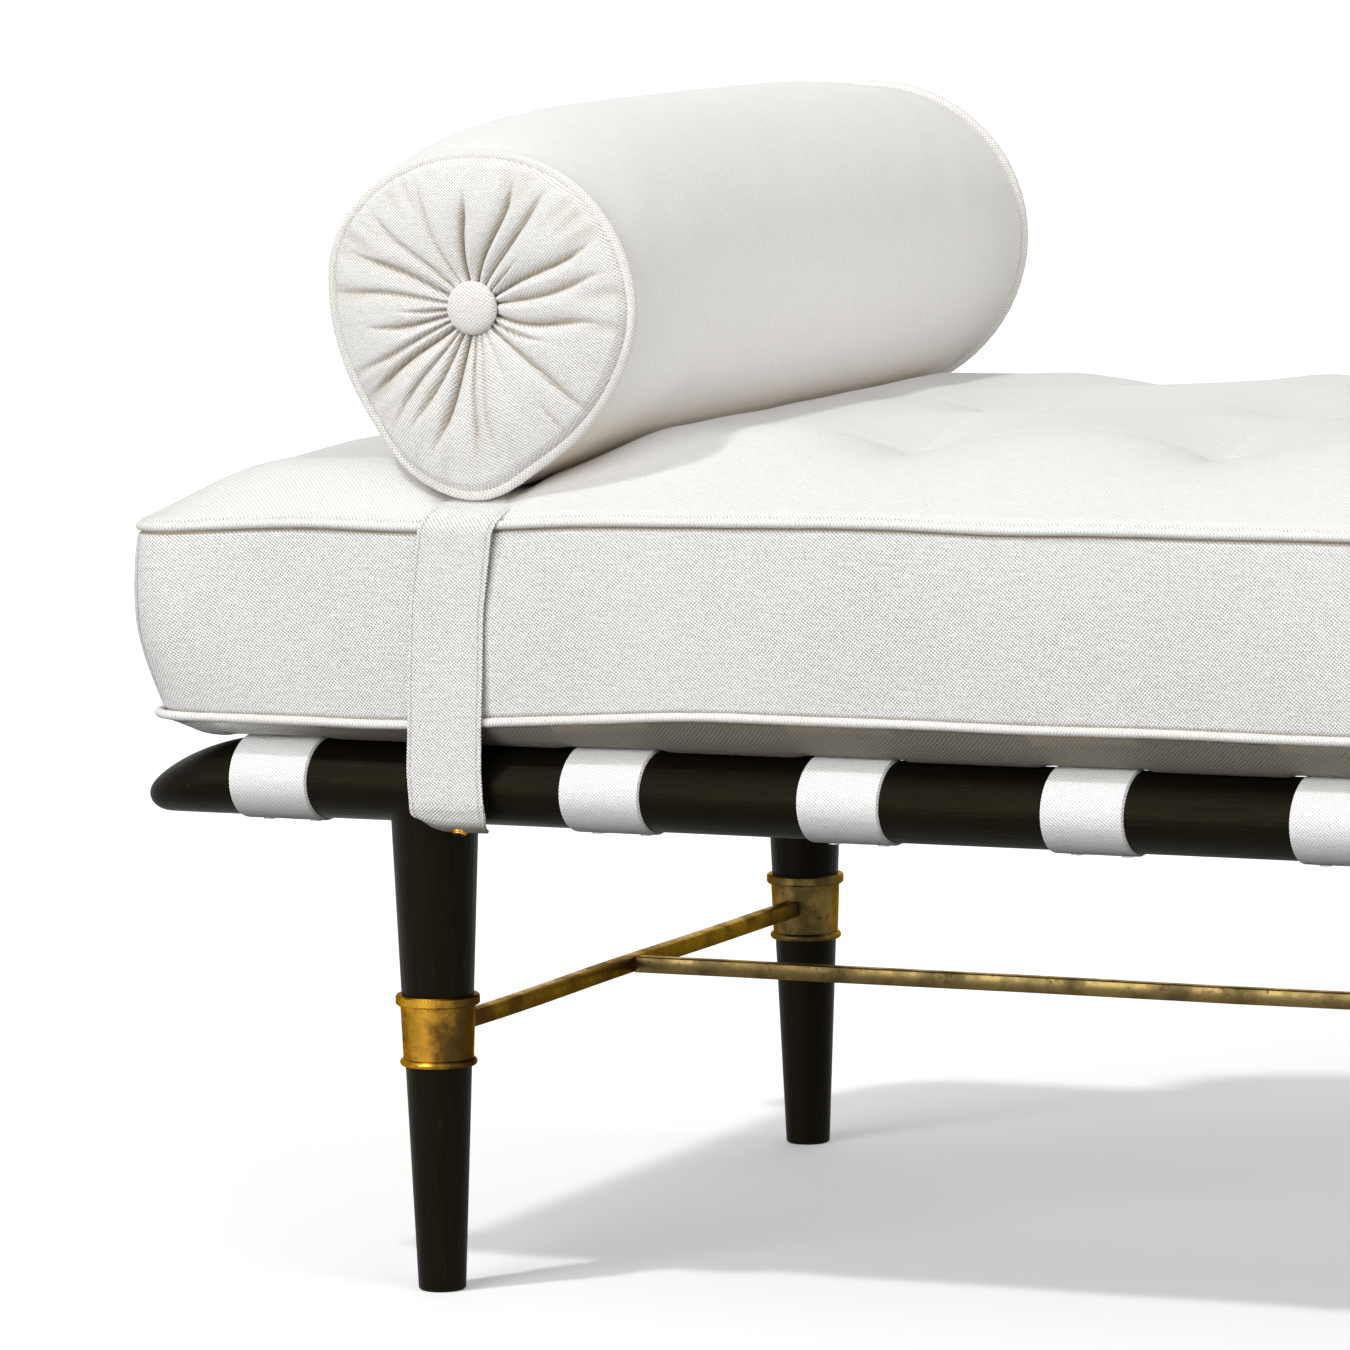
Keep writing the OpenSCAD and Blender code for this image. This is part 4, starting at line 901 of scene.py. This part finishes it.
def make_mattress():
    def runs(*parts):
        """Places from the first to the last of a row of (start, steps), whose final one has no steps."""
        ends = [start for start, _ in parts]
        rows = [np.linspace(a, b, n, endpoint=False) for (a, n), b in zip(parts, ends[1:])]
        return np.concatenate([*rows, ends[-1:]])

    last_x = TUFT_FIRST_X + TUFT_PITCH_X * (TUFT_COLUMNS - 1)
    xs = runs((-HALF_X, 6), (-HALF_X + CORNER, 96), (TUFT_FIRST_X, 40 * (TUFT_COLUMNS - 1)), (last_x, 22),
              (HALF_X - CORNER, 6), (HALF_X, 0))
    ys = runs((-HALF_Y, 6), (-HALF_Y + CORNER, 16), (-TUFT_PITCH_Y, 88), (TUFT_PITCH_Y, 16),
              (HALF_Y - CORNER, 6), (HALF_Y, 0))

    def plan(u, v):
        return spread(u, xs), spread(v, ys)

    def lay_top(u, v):
        x, y = in_corner(*plan(u, v))
        return pushed_out(x, 1.0), y, cushion_top(x, y)[0]

    def lay_bottom(u, v):
        x, y = in_corner(*plan(u, v))
        rim = low_rim(x, y)
        deep = ridge((HALF_Y - np.abs(y)) / 0.026) * ridge((HALF_X - np.abs(x)) / 0.04) * rounded_off(x, y)
        sag = 0.0016 * cloudy(0.11, 8, x, y * 0.4) * (1 - deep) * deep * 4
        x = x + side_lean(x)
        from_web = np.min([np.abs(x - place) for place in WEB_PLACES], axis=0)
        bare = smooth((from_web - WEB_WIDTH / 2 - 0.002) / 0.008)
        sag = sag - 0.0017 * bell(np.abs(y) - RAIL_Y, 0.022) * bare
        return x, y, rim - (rim - REST) * deep + sag

    columns, rows = len(xs) - 1, len(ys) - 1
    top = laid_grid("mattress_cushion", columns, rows, lay_top, plan, DIMMED_TOP_COVER)
    bottom = laid_grid("mattress_bottom", columns, rows, lay_bottom, plan, PAINTED_SHADE_UNDERSIDE)

    levels = side_levels()
    loop_x = np.concatenate([xs, np.full(rows, xs[-1]), xs[-2::-1], np.full(rows, xs[0])])
    loop_y = np.concatenate([np.full(len(xs), ys[0]), ys[1:], np.full(columns, ys[-1]), ys[-2::-1]])
    rim_x, rim_y = in_corner(loop_x, loop_y)
    length = lengths_along(np.stack([rim_x, rim_y], 1))
    out_x = np.gradient(rim_y, length)
    out_y = -np.gradient(rim_x, length)

    def lay_side(u, v):
        x, y, nx, ny = (spread(u, row) for row in (rim_x, rim_y, out_x, out_y))
        level = spread(v, levels)
        low = low_rim(x, y)
        z = low + (high_rim(x, y) - low) * level
        out = seam_tuck(level) * (v > 0) * (v < 1)
        crinkle = 0.0009 * cloudy(0.1, 31, x, y, z * 0.6)
        pucker = 0.0007 * cloudy(0.022, 32, x, y, z * 0.1)
        pucker *= np.exp(-level / 0.1) + np.exp(-(1 - level) / 0.1)
        out = out + (crinkle + pucker) * np.sin(np.pi * np.clip(v, 0, 1))
        near_end = smooth((np.abs(x) - HALF_X + 0.1) / 0.1)
        out = out + near_end * 0.0055 * np.sin(np.pi * level ** 1.1) ** 0.7
        lean = side_lean(x) * (1 - level)
        return pushed_out(x, level) + nx * out + lean, y + ny * out, z

    def side_map(u, v):
        return spread(u, length), spread(v, levels) * 0.117

    side = laid_grid("mattress_side", len(rim_x) - 1, len(levels) - 1, lay_side, side_map, COVER)

    # Painted shade in the crevice where the cushion meets the bolster.
    x, y, _ = grid_coords(top).T
    set_painted_shade(top, 0.9 * cushion_top(x, y)[1])
    # Painted shade on the underside, darkest over the rails.
    set_painted_shade(bottom, painted_shade_below(grid_coords(bottom)[:, 0]))
    # Painted shade along the grooves beside each cord, weaker at the lower one, and the underside's painted
    # shade along the lower edge.
    x, y, z = grid_coords(side).T
    low = low_rim(x, y)
    groove = seam_groove((z - low) / (high_rim(x, y) - low)) * np.where(z > 0.4, 1.0, 0.6)
    set_painted_shade(side, np.clip(np.where(z < low + 0.0004, painted_shade_below(x), groove), 0, 1))

    cushion = join_pieces("mattress_cushion", [top, bottom, side])
    finish_mesh(cushion, merge=0.0001)
    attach(cushion, "mattress")
    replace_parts(cushion, "mattress_core", "mattress_top", "mattress_boxing", "mattress_underside")
    return rim_x, rim_y, out_x, out_y, length


def cord_round(name, points, radius):
    """A piped cord that follows a closed row of points."""
    count = len(points)
    ahead = np.roll(points, -1, axis=0) - np.roll(points, 1, axis=0)
    ahead /= np.linalg.norm(ahead, axis=1, keepdims=True)
    side = points - points.mean(axis=0)
    side -= (side * ahead).sum(1, keepdims=True) * ahead
    side /= np.linalg.norm(side, axis=1, keepdims=True)
    other = np.cross(ahead, side)
    whole = lengths_along(np.concatenate([points, points[:1]]))[-1]

    def place(u, v):
        k = v * count
        low = np.floor(k).astype(int) % count
        high = (low + 1) % count
        part = (k - np.floor(k))[:, None]
        spot, out, up = (row[low] * (1 - part) + row[high] * part for row in (points, side, other))
        turn = TAU * u[:, None]
        r = radius * (1 + 0.05 * np.sin(TAU * 97 * v)[:, None] * np.sin(TAU * 31 * v)[:, None])
        return (spot + r * (np.cos(turn) * out + np.sin(turn) * up)).T

    piece = laid_grid(name, 12, count, place, lambda u, v: (u * TAU * radius, v * whole), PIPING)
    return finish_mesh(piece, merge=0.00001)


def make_mattress_welts(rim_x, rim_y, out_x, out_y, length):
    spots = np.arange(0, length[-1] - 0.003, 0.006)
    x, y, nx, ny = (np.interp(spots, length, row) for row in (rim_x, rim_y, out_x, out_y))
    for name, node, level, wave, lean, lift in (
            ("piping_upper", "mattress_welt_upper", HIGH_SEAM, HIGH_WAVE, 0, 0.0008),
            ("piping_lower", "mattress_welt_lower", LOW_SEAM, LOW_WAVE, 1, 0.0001)):
        z = level + lift + seam_lift(wave, x, y)
        shift = lean * side_lean(x)
        x = pushed_out(x, 1 - lean)
        points = np.stack([x + nx * 0.0008 + shift, y + ny * 0.0008, z], 1)
        piece = cord_round(name, points, MATTRESS_WELT)
        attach(piece, "mattress")
        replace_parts(piece, node)


make_mattress_welts(*make_mattress())


# Bolster

# Gathers of an end panel: for each crease its direction in degrees near the button and near the seam,
# where along the way it ends, and its depth
GATHERS = ((26, 27, 0.98, 1.0), (8, 13, 0.95, 0.9), (342, 353, 0.88, 1.0), (328, 340, 0.6, 0.8),
           (315, 322, 1.00, 0.8), (299, 299, 0.6, 0.35), (288, 279, 0.95, 0.4), (276, 271, 0.95, 0.6),
           (262, 254, 0.9, 1.0), (246, 243, 0.86, 0.8), (234, 234, 0.96, 0.7), (224, 217, 1.00, 1.0),
           (211, 207, 0.95, 0.8), (198, 191, 0.8, 0.9), (184, 182, 0.55, 0.8), (168, 174, 0.97, 0.7),
           (154, 156, 0.9, 0.9), (136, 139, 1.00, 0.6), (118, 117, 0.97, 0.5), (98, 94, 0.82, 1.2),
           (78, 68, 0.95, 1.1), (61, 53, 0.98, 0.9), (44, 40, 0.5, 0.6))


def half_turned(degrees):
    return (degrees + 180) % 360 - 180


def end_panel_height(turn, share, seed):
    """How far the gathered cloth stands out, and how much painted shade it gets in its creases and under the
    puckers at its rim, at a turn and a share of the way out. Seed 0 gives the gathers as seen, and any other
    one mirrors and shifts them."""
    pick = np.random.default_rng(seed)
    gathers = GATHERS
    if seed:
        shift = pick.uniform(-4, 4, len(gathers))
        gathers = [((180 - a + s) % 360, (180 - b + 1.5 * s) % 360,
                    min(1, max(0.5, end + pick.uniform(-0.2, 0.2))), deep)
                   for (a, b, end, deep), s in zip(gathers, shift)]
    degrees = np.degrees(turn) % 360
    arch = np.full_like(share, 1e9)
    valley, tint, rim = np.zeros((3, len(share)))
    reach = np.maximum(share, 0.14) * 0.095
    for i, (a, b, end, deep) in enumerate(gathers):
        line = a + half_turned(b - a) * smooth(share / 0.8) + 1.6 * np.sin(share * 7 + i * 1.3)
        fade = smooth((end - share) / 0.3) * deep
        off = np.radians(half_turned(degrees - line)) * reach
        skew = np.where(off > 0, off, -off * 1.7)
        arch = np.minimum(arch, skew + 0.012 * (1 - np.clip(fade, 0, 1)))
        valley = np.maximum(valley, fade * np.exp(-skew / (0.0006 + 0.0008 * share)))
        tint = np.maximum(tint, fade * np.exp(-skew / (0.0012 + 0.0022 * share)))
    height = 0.0005 + 0.0095 * np.sin(np.radians(150) * share) ** 0.85
    puff = 0.004 * (1 - np.exp(-arch / 0.0045)) * np.sin(np.pi * np.clip(0.1 + 0.86 * share, 0, 1)) ** 0.6
    depth = 0.0052 * valley * np.sin(np.pi * np.clip(0.12 + 0.8 * share, 0, 1)) ** 0.5
    for _ in range(26):
        at, wide, size = pick.uniform(0, 360), pick.uniform(1.2, 3.4), pick.uniform(0.3, 1.1)
        rim += size * bell(half_turned(degrees - at), wide)
    rim *= 0.0014 * smooth((share - 0.62) / 0.3) * np.clip((1.03 - share) / 0.12, 0, 1)
    # Painted shade: tint and valley darken along each crease, and rim darkens under the puckers at the seam.
    painted_shade = 0.55 * tint + 0.4 * valley + np.minimum(250 * rim, 0.22)
    return height + puff - depth - rim, np.clip(painted_shade, 0, 1)


def make_bolster():
    around, along, rings = 480, 72, 40

    def lay_body(u, v):
        turn = TAU * u
        share = v * 0.55 + (1 - np.cos(np.pi * v)) / 2 * 0.45
        x, z = section_point(turn, share)
        edge = np.minimum(share, 1 - share)
        centre_z = FRONT_MIDDLE[1] + (REAR_MIDDLE[1] - FRONT_MIDDLE[1]) * share
        out = 0.00055 * cloudy(0.0105, 41, 0.1 * np.cos(turn), 0.1 * np.sin(turn), 0.1 * share)
        out *= np.exp(-edge / 0.022)
        out += 0.0005 * cloudy(0.055, 42, x, z, share * 0.574) * smooth(edge / 0.06)
        out -= 0.0018 * np.exp(-edge / 0.008) * (v > 0) * (v < 1)
        out *= smooth((z - 0.475) / 0.02) * np.clip(edge / 0.004, 0, 1)
        far = np.hypot(x - BOLSTER_X, z - centre_z)
        return (x + (x - BOLSTER_X) / far * out, FRONT_SEAM_Y + share * BOLSTER_LENGTH,
                z + (z - centre_z) / far * out)

    body = laid_grid("bolster_cushion", around, along, lay_body,
                     lambda u, v: (u * 0.64, v * BOLSTER_LENGTH), SMOOTH_COVER)
    # Painted shade, darker towards the bolster's underside.
    set_painted_shade(body, 0.85 * smooth((0.53 - grid_coords(body)[:, 2]) / 0.06))
    pieces = [body]
    for (side, share_end, middle, seam_y), seed in ((FRONT_END, 0), (REAR_END, 7)):
        middle_x, middle_z = middle

        def lay_end(u, v):
            turn = TAU * u
            x, z = section_point(turn, share_end)
            share = 0.05 + 0.95 * v
            out = end_panel_height(turn, share, seed)[0] * smooth((1 - v) / 0.05)
            return middle_x + (x - middle_x) * share, seam_y + side * out, middle_z + (z - middle_z) * share

        panel = laid_grid(f"bolster_end_{seed}", around, rings, lay_end,
                          lambda u, v: (0.1 * v * np.cos(TAU * u), 0.1 * v * np.sin(TAU * u)), GATHERED)
        x, _, z = grid_coords(panel).T
        turn = np.arctan2(z - middle_z, x - middle_x) % TAU
        rim_x, rim_z = section_point(turn, share_end)
        share = np.hypot(x - middle_x, z - middle_z) / np.hypot(rim_x - middle_x, rim_z - middle_z)
        # Painted shade in the gathers' creases.
        set_painted_shade(panel, 0.85 * end_panel_height(turn, share, seed)[1])
        close_hole(panel, middle, 0.0062)
        pieces.append(panel)
    cushion = join_pieces("bolster_cushion", pieces)
    finish_mesh(cushion, merge=0.00003)
    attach(cushion, "bolster")
    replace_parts(cushion, "bolster_core", "bolster_cover", "bolster_end_front", "bolster_end_rear")

    turns = np.linspace(0, TAU, 220, endpoint=False)
    for name, node, (side, share, middle, seam_y) in (
            ("bolster_piping_front", "bolster_welt_front", FRONT_END),
            ("bolster_piping_rear", "bolster_welt_rear", REAR_END)):
        x, z = section_point(turns, share)
        out = np.hypot(x - middle[0], z - middle[1])
        x, z = x + (x - middle[0]) / out * 0.0006, z + (z - middle[1]) / out * 0.0006
        piece = cord_round(name, np.stack([x, np.full(len(x), seam_y + side * 0.0012), z], 1), WELT)
        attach(piece, "bolster")
        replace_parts(piece, node)


make_bolster()


# Section of a covered button: shares of its radius, and distances out from its back, which lies off the seam
BUTTON_RADIUS, BUTTON_BACK = 0.0155, 0.0062
BUTTON_SHARES = (0.8, 0.95, 1.0, 0.97, 0.88, 0.72, 0.5, 0.26, 0.0)
BUTTON_RISE = (-0.0012, 0.0002, 0.0018, 0.0034, 0.0048, 0.0058, 0.0064, 0.0067, 0.0068)


def make_button(name, end, node):
    """Covered button: a disc drawn up into a dome, with its cloth turned in round the edge."""
    side, _, middle, seam_y = end

    def place(u, v):
        turn = TAU * u
        r = BUTTON_RADIUS * spread(v, BUTTON_SHARES) * (1 + 0.006 * np.sin(17 * turn) * (v < 0.4))
        y = seam_y + side * (BUTTON_BACK + spread(v, BUTTON_RISE))
        return middle[0] + r * np.cos(turn), y, middle[1] + r * np.sin(turn)

    def cloth_map(u, v):
        x, _, z = place(u, v)
        return x, z

    piece = laid_grid(name, 64, 24, place, cloth_map, PIPING)
    close_ends(finish_mesh(piece, merge=0.00001))
    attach(piece, "bolster")
    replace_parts(piece, node)


def make_twine():
    """Twisted twine that draws the two buttons together through the filling."""
    strands = []
    for k in range(2):
        def place(u, v, k=k):
            turn, wind = TAU * u, 160 * v + math.pi * k
            x, z = (a + (b - a) * v for a, b in zip(FRONT_MIDDLE, REAR_MIDDLE))
            return (x + 0.0006 * np.cos(wind) + 0.0007 * np.cos(turn),
                    FRONT_SEAM_Y - 0.007 + v * (BOLSTER_LENGTH + 0.014),
                    z + 0.0006 * np.sin(wind) + 0.0007 * np.sin(turn))
        strand = laid_grid(f"twine_strand_{k}", 8, 260, place, lambda u, v: (u * 0.004, v * 0.6), TWINE)
        strands.append(strand)
    twine = join_pieces("bolster_twine", strands)
    close_ends(finish_mesh(twine, merge=0.00001))
    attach(twine, "bolster")
    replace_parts(twine, "bolster_tie")


make_twine()
make_button("covered_button_front", FRONT_END, "bolster_button_front")
make_button("covered_button_rear", REAR_END, "bolster_button_rear")


# Strap under the bolster

def strap_centre(z, side):
    """The strap leans to the left as it goes down the front."""
    front = np.interp(z, [0.27, 0.284, 0.307, 0.4, 0.444, 0.456, 0.464],
                      [-0.749, -0.7498, -0.751, -0.7478, -0.742, -0.736, -0.731])
    rear = np.interp(z, [0.27, 0.307, 0.45, 0.464], [-0.7385, -0.738, -0.736, -0.7355])
    return front if side < 0 else rear


def make_strap():
    def down_side(side):
        """Knots from the strap's lower end up over the mattress's edge, along one side of the divan."""
        seam = HIGH_SEAM + seam_lift(HIGH_WAVE, BOLSTER_X, side * HALF_Y)
        knots = ((0.0004, STRAP_END + 0.00002), (0, 0.3), (-0.0002, 0.33), (-0.0003, 0.36), (0, 0.39),
                 (0, 0.415), (0.0002, seam - 0.006), (0, seam), (0.0006, seam + 0.0035),
                 (0.0028, seam + 0.0062))
        return [(side * (STRAP_FACE - inside), z) for inside, z in knots]

    ys = np.linspace(-HALF_Y + 0.006, HALF_Y - 0.006, 60)
    over_top = np.stack([ys, cushion_top(np.full(60, BOLSTER_X), ys)[0] + 0.0013], 1)
    path = even_path(np.concatenate([down_side(-1), over_top, down_side(1)[::-1]]), 260, 2)

    def shift(v):
        y, z = spread(v, path[:, 0]), spread(v, path[:, 1])
        blend = smooth((y + HALF_Y) / (2 * HALF_Y))
        return strap_centre(z, -1) * (1 - blend) + strap_centre(z, 1) * blend

    strap = strap_along("bolster_strap_cloth", path, shift, STRAP_SIZE, STRAP_CLOTH, 40, 3, 0.00015)
    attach(strap, "bolster")
    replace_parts(strap, "bolster_strap")

    curl = even_path([(0.0004 - STRAP_FACE, STRAP_END - 0.00002), (0.0007 - STRAP_FACE, 0.285),
                      (-0.3066, 0.2818), (-0.3054, 0.2784), (-0.3036, 0.2752), (-0.3008, 0.2726),
                      (-0.2978, 0.2712)], 30, 1)
    for name, node, side in (
            ("strap_end_front", "strap_tab_front", -1),
            ("strap_end_rear", "strap_tab_rear", 1)):
        path = curl if side < 0 else curl[::-1] * [-1, 1]
        centre = strap_centre(0.286, side)
        piece = strap_along(name, path, straight(centre), STRAP_SIZE, STRAP_CLOTH, 40, 5, 0.0001)
        points = grid_coords(piece)
        drawn = smooth((0.282 - points[:, 2]) / 0.011)
        aside = points[:, 0] - centre
        points[:, 0] += drawn * (0.002 - 0.16 * aside)
        points[:, 2] += 0.0045 * drawn * np.clip(-aside / 0.024, 0, 1) ** 3
        set_coords(piece, points)
        # Painted shade, darker where the end curls under the rail.
        set_painted_shade(piece, 0.95 * smooth((0.279 - points[:, 2]) / 0.007))
        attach(piece, "frame")
        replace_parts(piece, node)


make_strap()


SNAP_RADIUS, SNAP_DEPTH, SNAP_Y, SNAP_Z = 0.0046, 0.0016, 0.2994, 0.2708


def make_snap(name, node, x, side):
    """Pressed brass cap on the underside of a strap's end: a rounded disc with a raised middle."""
    bpy.ops.mesh.primitive_cylinder_add(vertices=40, radius=SNAP_RADIUS, depth=SNAP_DEPTH, location=(0, 0, 0))
    snap = bpy.context.object
    snap.name = name
    open_mesh("DESELECT")
    shut_mesh()
    for face in snap.data.polygons:
        face.select = face.normal.z > 0.9
    open_mesh(None)
    bpy.ops.mesh.inset(thickness=0.0011)
    bpy.ops.mesh.extrude_region_move(TRANSFORM_OT_translate={"value": (0, 0, 0.0009)})
    bpy.ops.mesh.inset(thickness=0.001)
    shut_mesh()
    bevel = snap.modifiers.new("rounded", "BEVEL")
    bevel.width, bevel.segments, bevel.limit_method = 0.0004, 3, "ANGLE"
    bpy.ops.object.modifier_apply(modifier=bevel.name)
    snap.rotation_euler = Vector((0, side * 0.45, -0.89)).to_track_quat("Z", "Y").to_euler()
    snap.location = (x, side * SNAP_Y, SNAP_Z)
    bpy.ops.object.transform_apply(location=True, rotation=True, scale=True)
    bpy.ops.object.shade_smooth_by_angle(angle=math.radians(35))
    snap.data.materials.append(SNAP_BRASS)
    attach(snap, "frame")
    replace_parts(snap, node)


make_snap("snap_cap_front", "strap_snap_front", -0.746, -1)
make_snap("snap_cap_rear", "strap_snap_rear", -0.737, 1)


# Finishes of the carried-over pieces

FINISHES = (
    (LEG_WOOD, ("leg_front_left", "leg_front_right", "leg_rear_left", "leg_rear_right")),
    (CROSS_WOOD, ("cross_rail_left", "cross_rail_centre", "cross_rail_right")),
    (BRASS, ("ferrule_front_left", "ferrule_front_right")),
    (DULL_BRASS, ("ferrule_rear_left", "ferrule_rear_right", "stretcher_pins")),
    (STEEL, ("leg_bolts", "leg_washers", "leg_nuts", "webbing_tacks")),
    (TWINE, ("tuft_ties",)),
)
for material, names in FINISHES:
    for node in names:
        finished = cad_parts[node].data.materials
        finished.clear()
        finished.append(material)


# Floor and light

def make_floor():
    """White ground that keeps the shadow, and that throws only a little warm light up at the divan."""
    bpy.ops.mesh.primitive_plane_add(size=120, location=(0, 0, 0))
    floor = bpy.context.object
    floor.name = "floor"
    made, tree, shader = start_material("pale_floor")
    seen = seen_share(tree)
    fill(shader, {"Base Color": mix_colour(seen, (0.032, 0.028, 0.022), (1.0, 1.0, 1.0)), "Roughness": 0.9,
                  "Specular IOR Level": 0.0, "Emission Color": (1, 1, 1),
                  "Emission Strength": times(seen, FLOOR_GLOW)})
    floor.data.materials.append(made)


def make_lights():
    world = bpy.context.scene.world or bpy.data.worlds.new("world")
    bpy.context.scene.world = world
    world.use_nodes = True
    tree = world.node_tree
    tree.nodes.clear()
    leave = tree.nodes.new("ShaderNodeOutputWorld")
    mix = tree.nodes.new("ShaderNodeMixShader")
    give(mix.inputs[0], seen_share(tree))
    for place, colour, strength in ((1, (1.0, 0.985, 0.965), 0.2), (2, (1, 1, 1), 1.0)):
        ground = tree.nodes.new("ShaderNodeBackground")
        give(ground.inputs[0], colour)
        give(ground.inputs[1], strength)
        give(mix.inputs[place], ground.outputs[0])
    give(leave.inputs[0], mix.outputs[0])
    for name, towards, strength, spread_angle, tint in (
            ("high_left_light", (0.34, 0.5, -1.0), 1.12, 4, (1.0, 0.998, 0.99)),
            ("front_light", (0.28, 1.0, -0.25), 2.5, 40, (0.985, 0.992, 1.0)),
            ("right_light", (-1.0, 0.3, -0.16), 2.1, 80, (1.0, 0.98, 0.96)),
            ("rear_light", (0.2, -1.0, -0.25), 1.2, 70, (1.0, 0.99, 0.98))):
        data = bpy.data.lights.new(name, "SUN")
        data.energy, data.angle, data.color = strength, math.radians(spread_angle), tint
        lamp = bpy.data.objects.new(name, data)
        bpy.context.scene.collection.objects.link(lamp)
        lamp.rotation_euler = Vector(towards).to_track_quat("-Z", "Y").to_euler()


make_floor()
make_lights()
bpy.context.scene.view_settings.view_transform = "Standard"
bpy.ops.object.select_all(action="DESELECT")
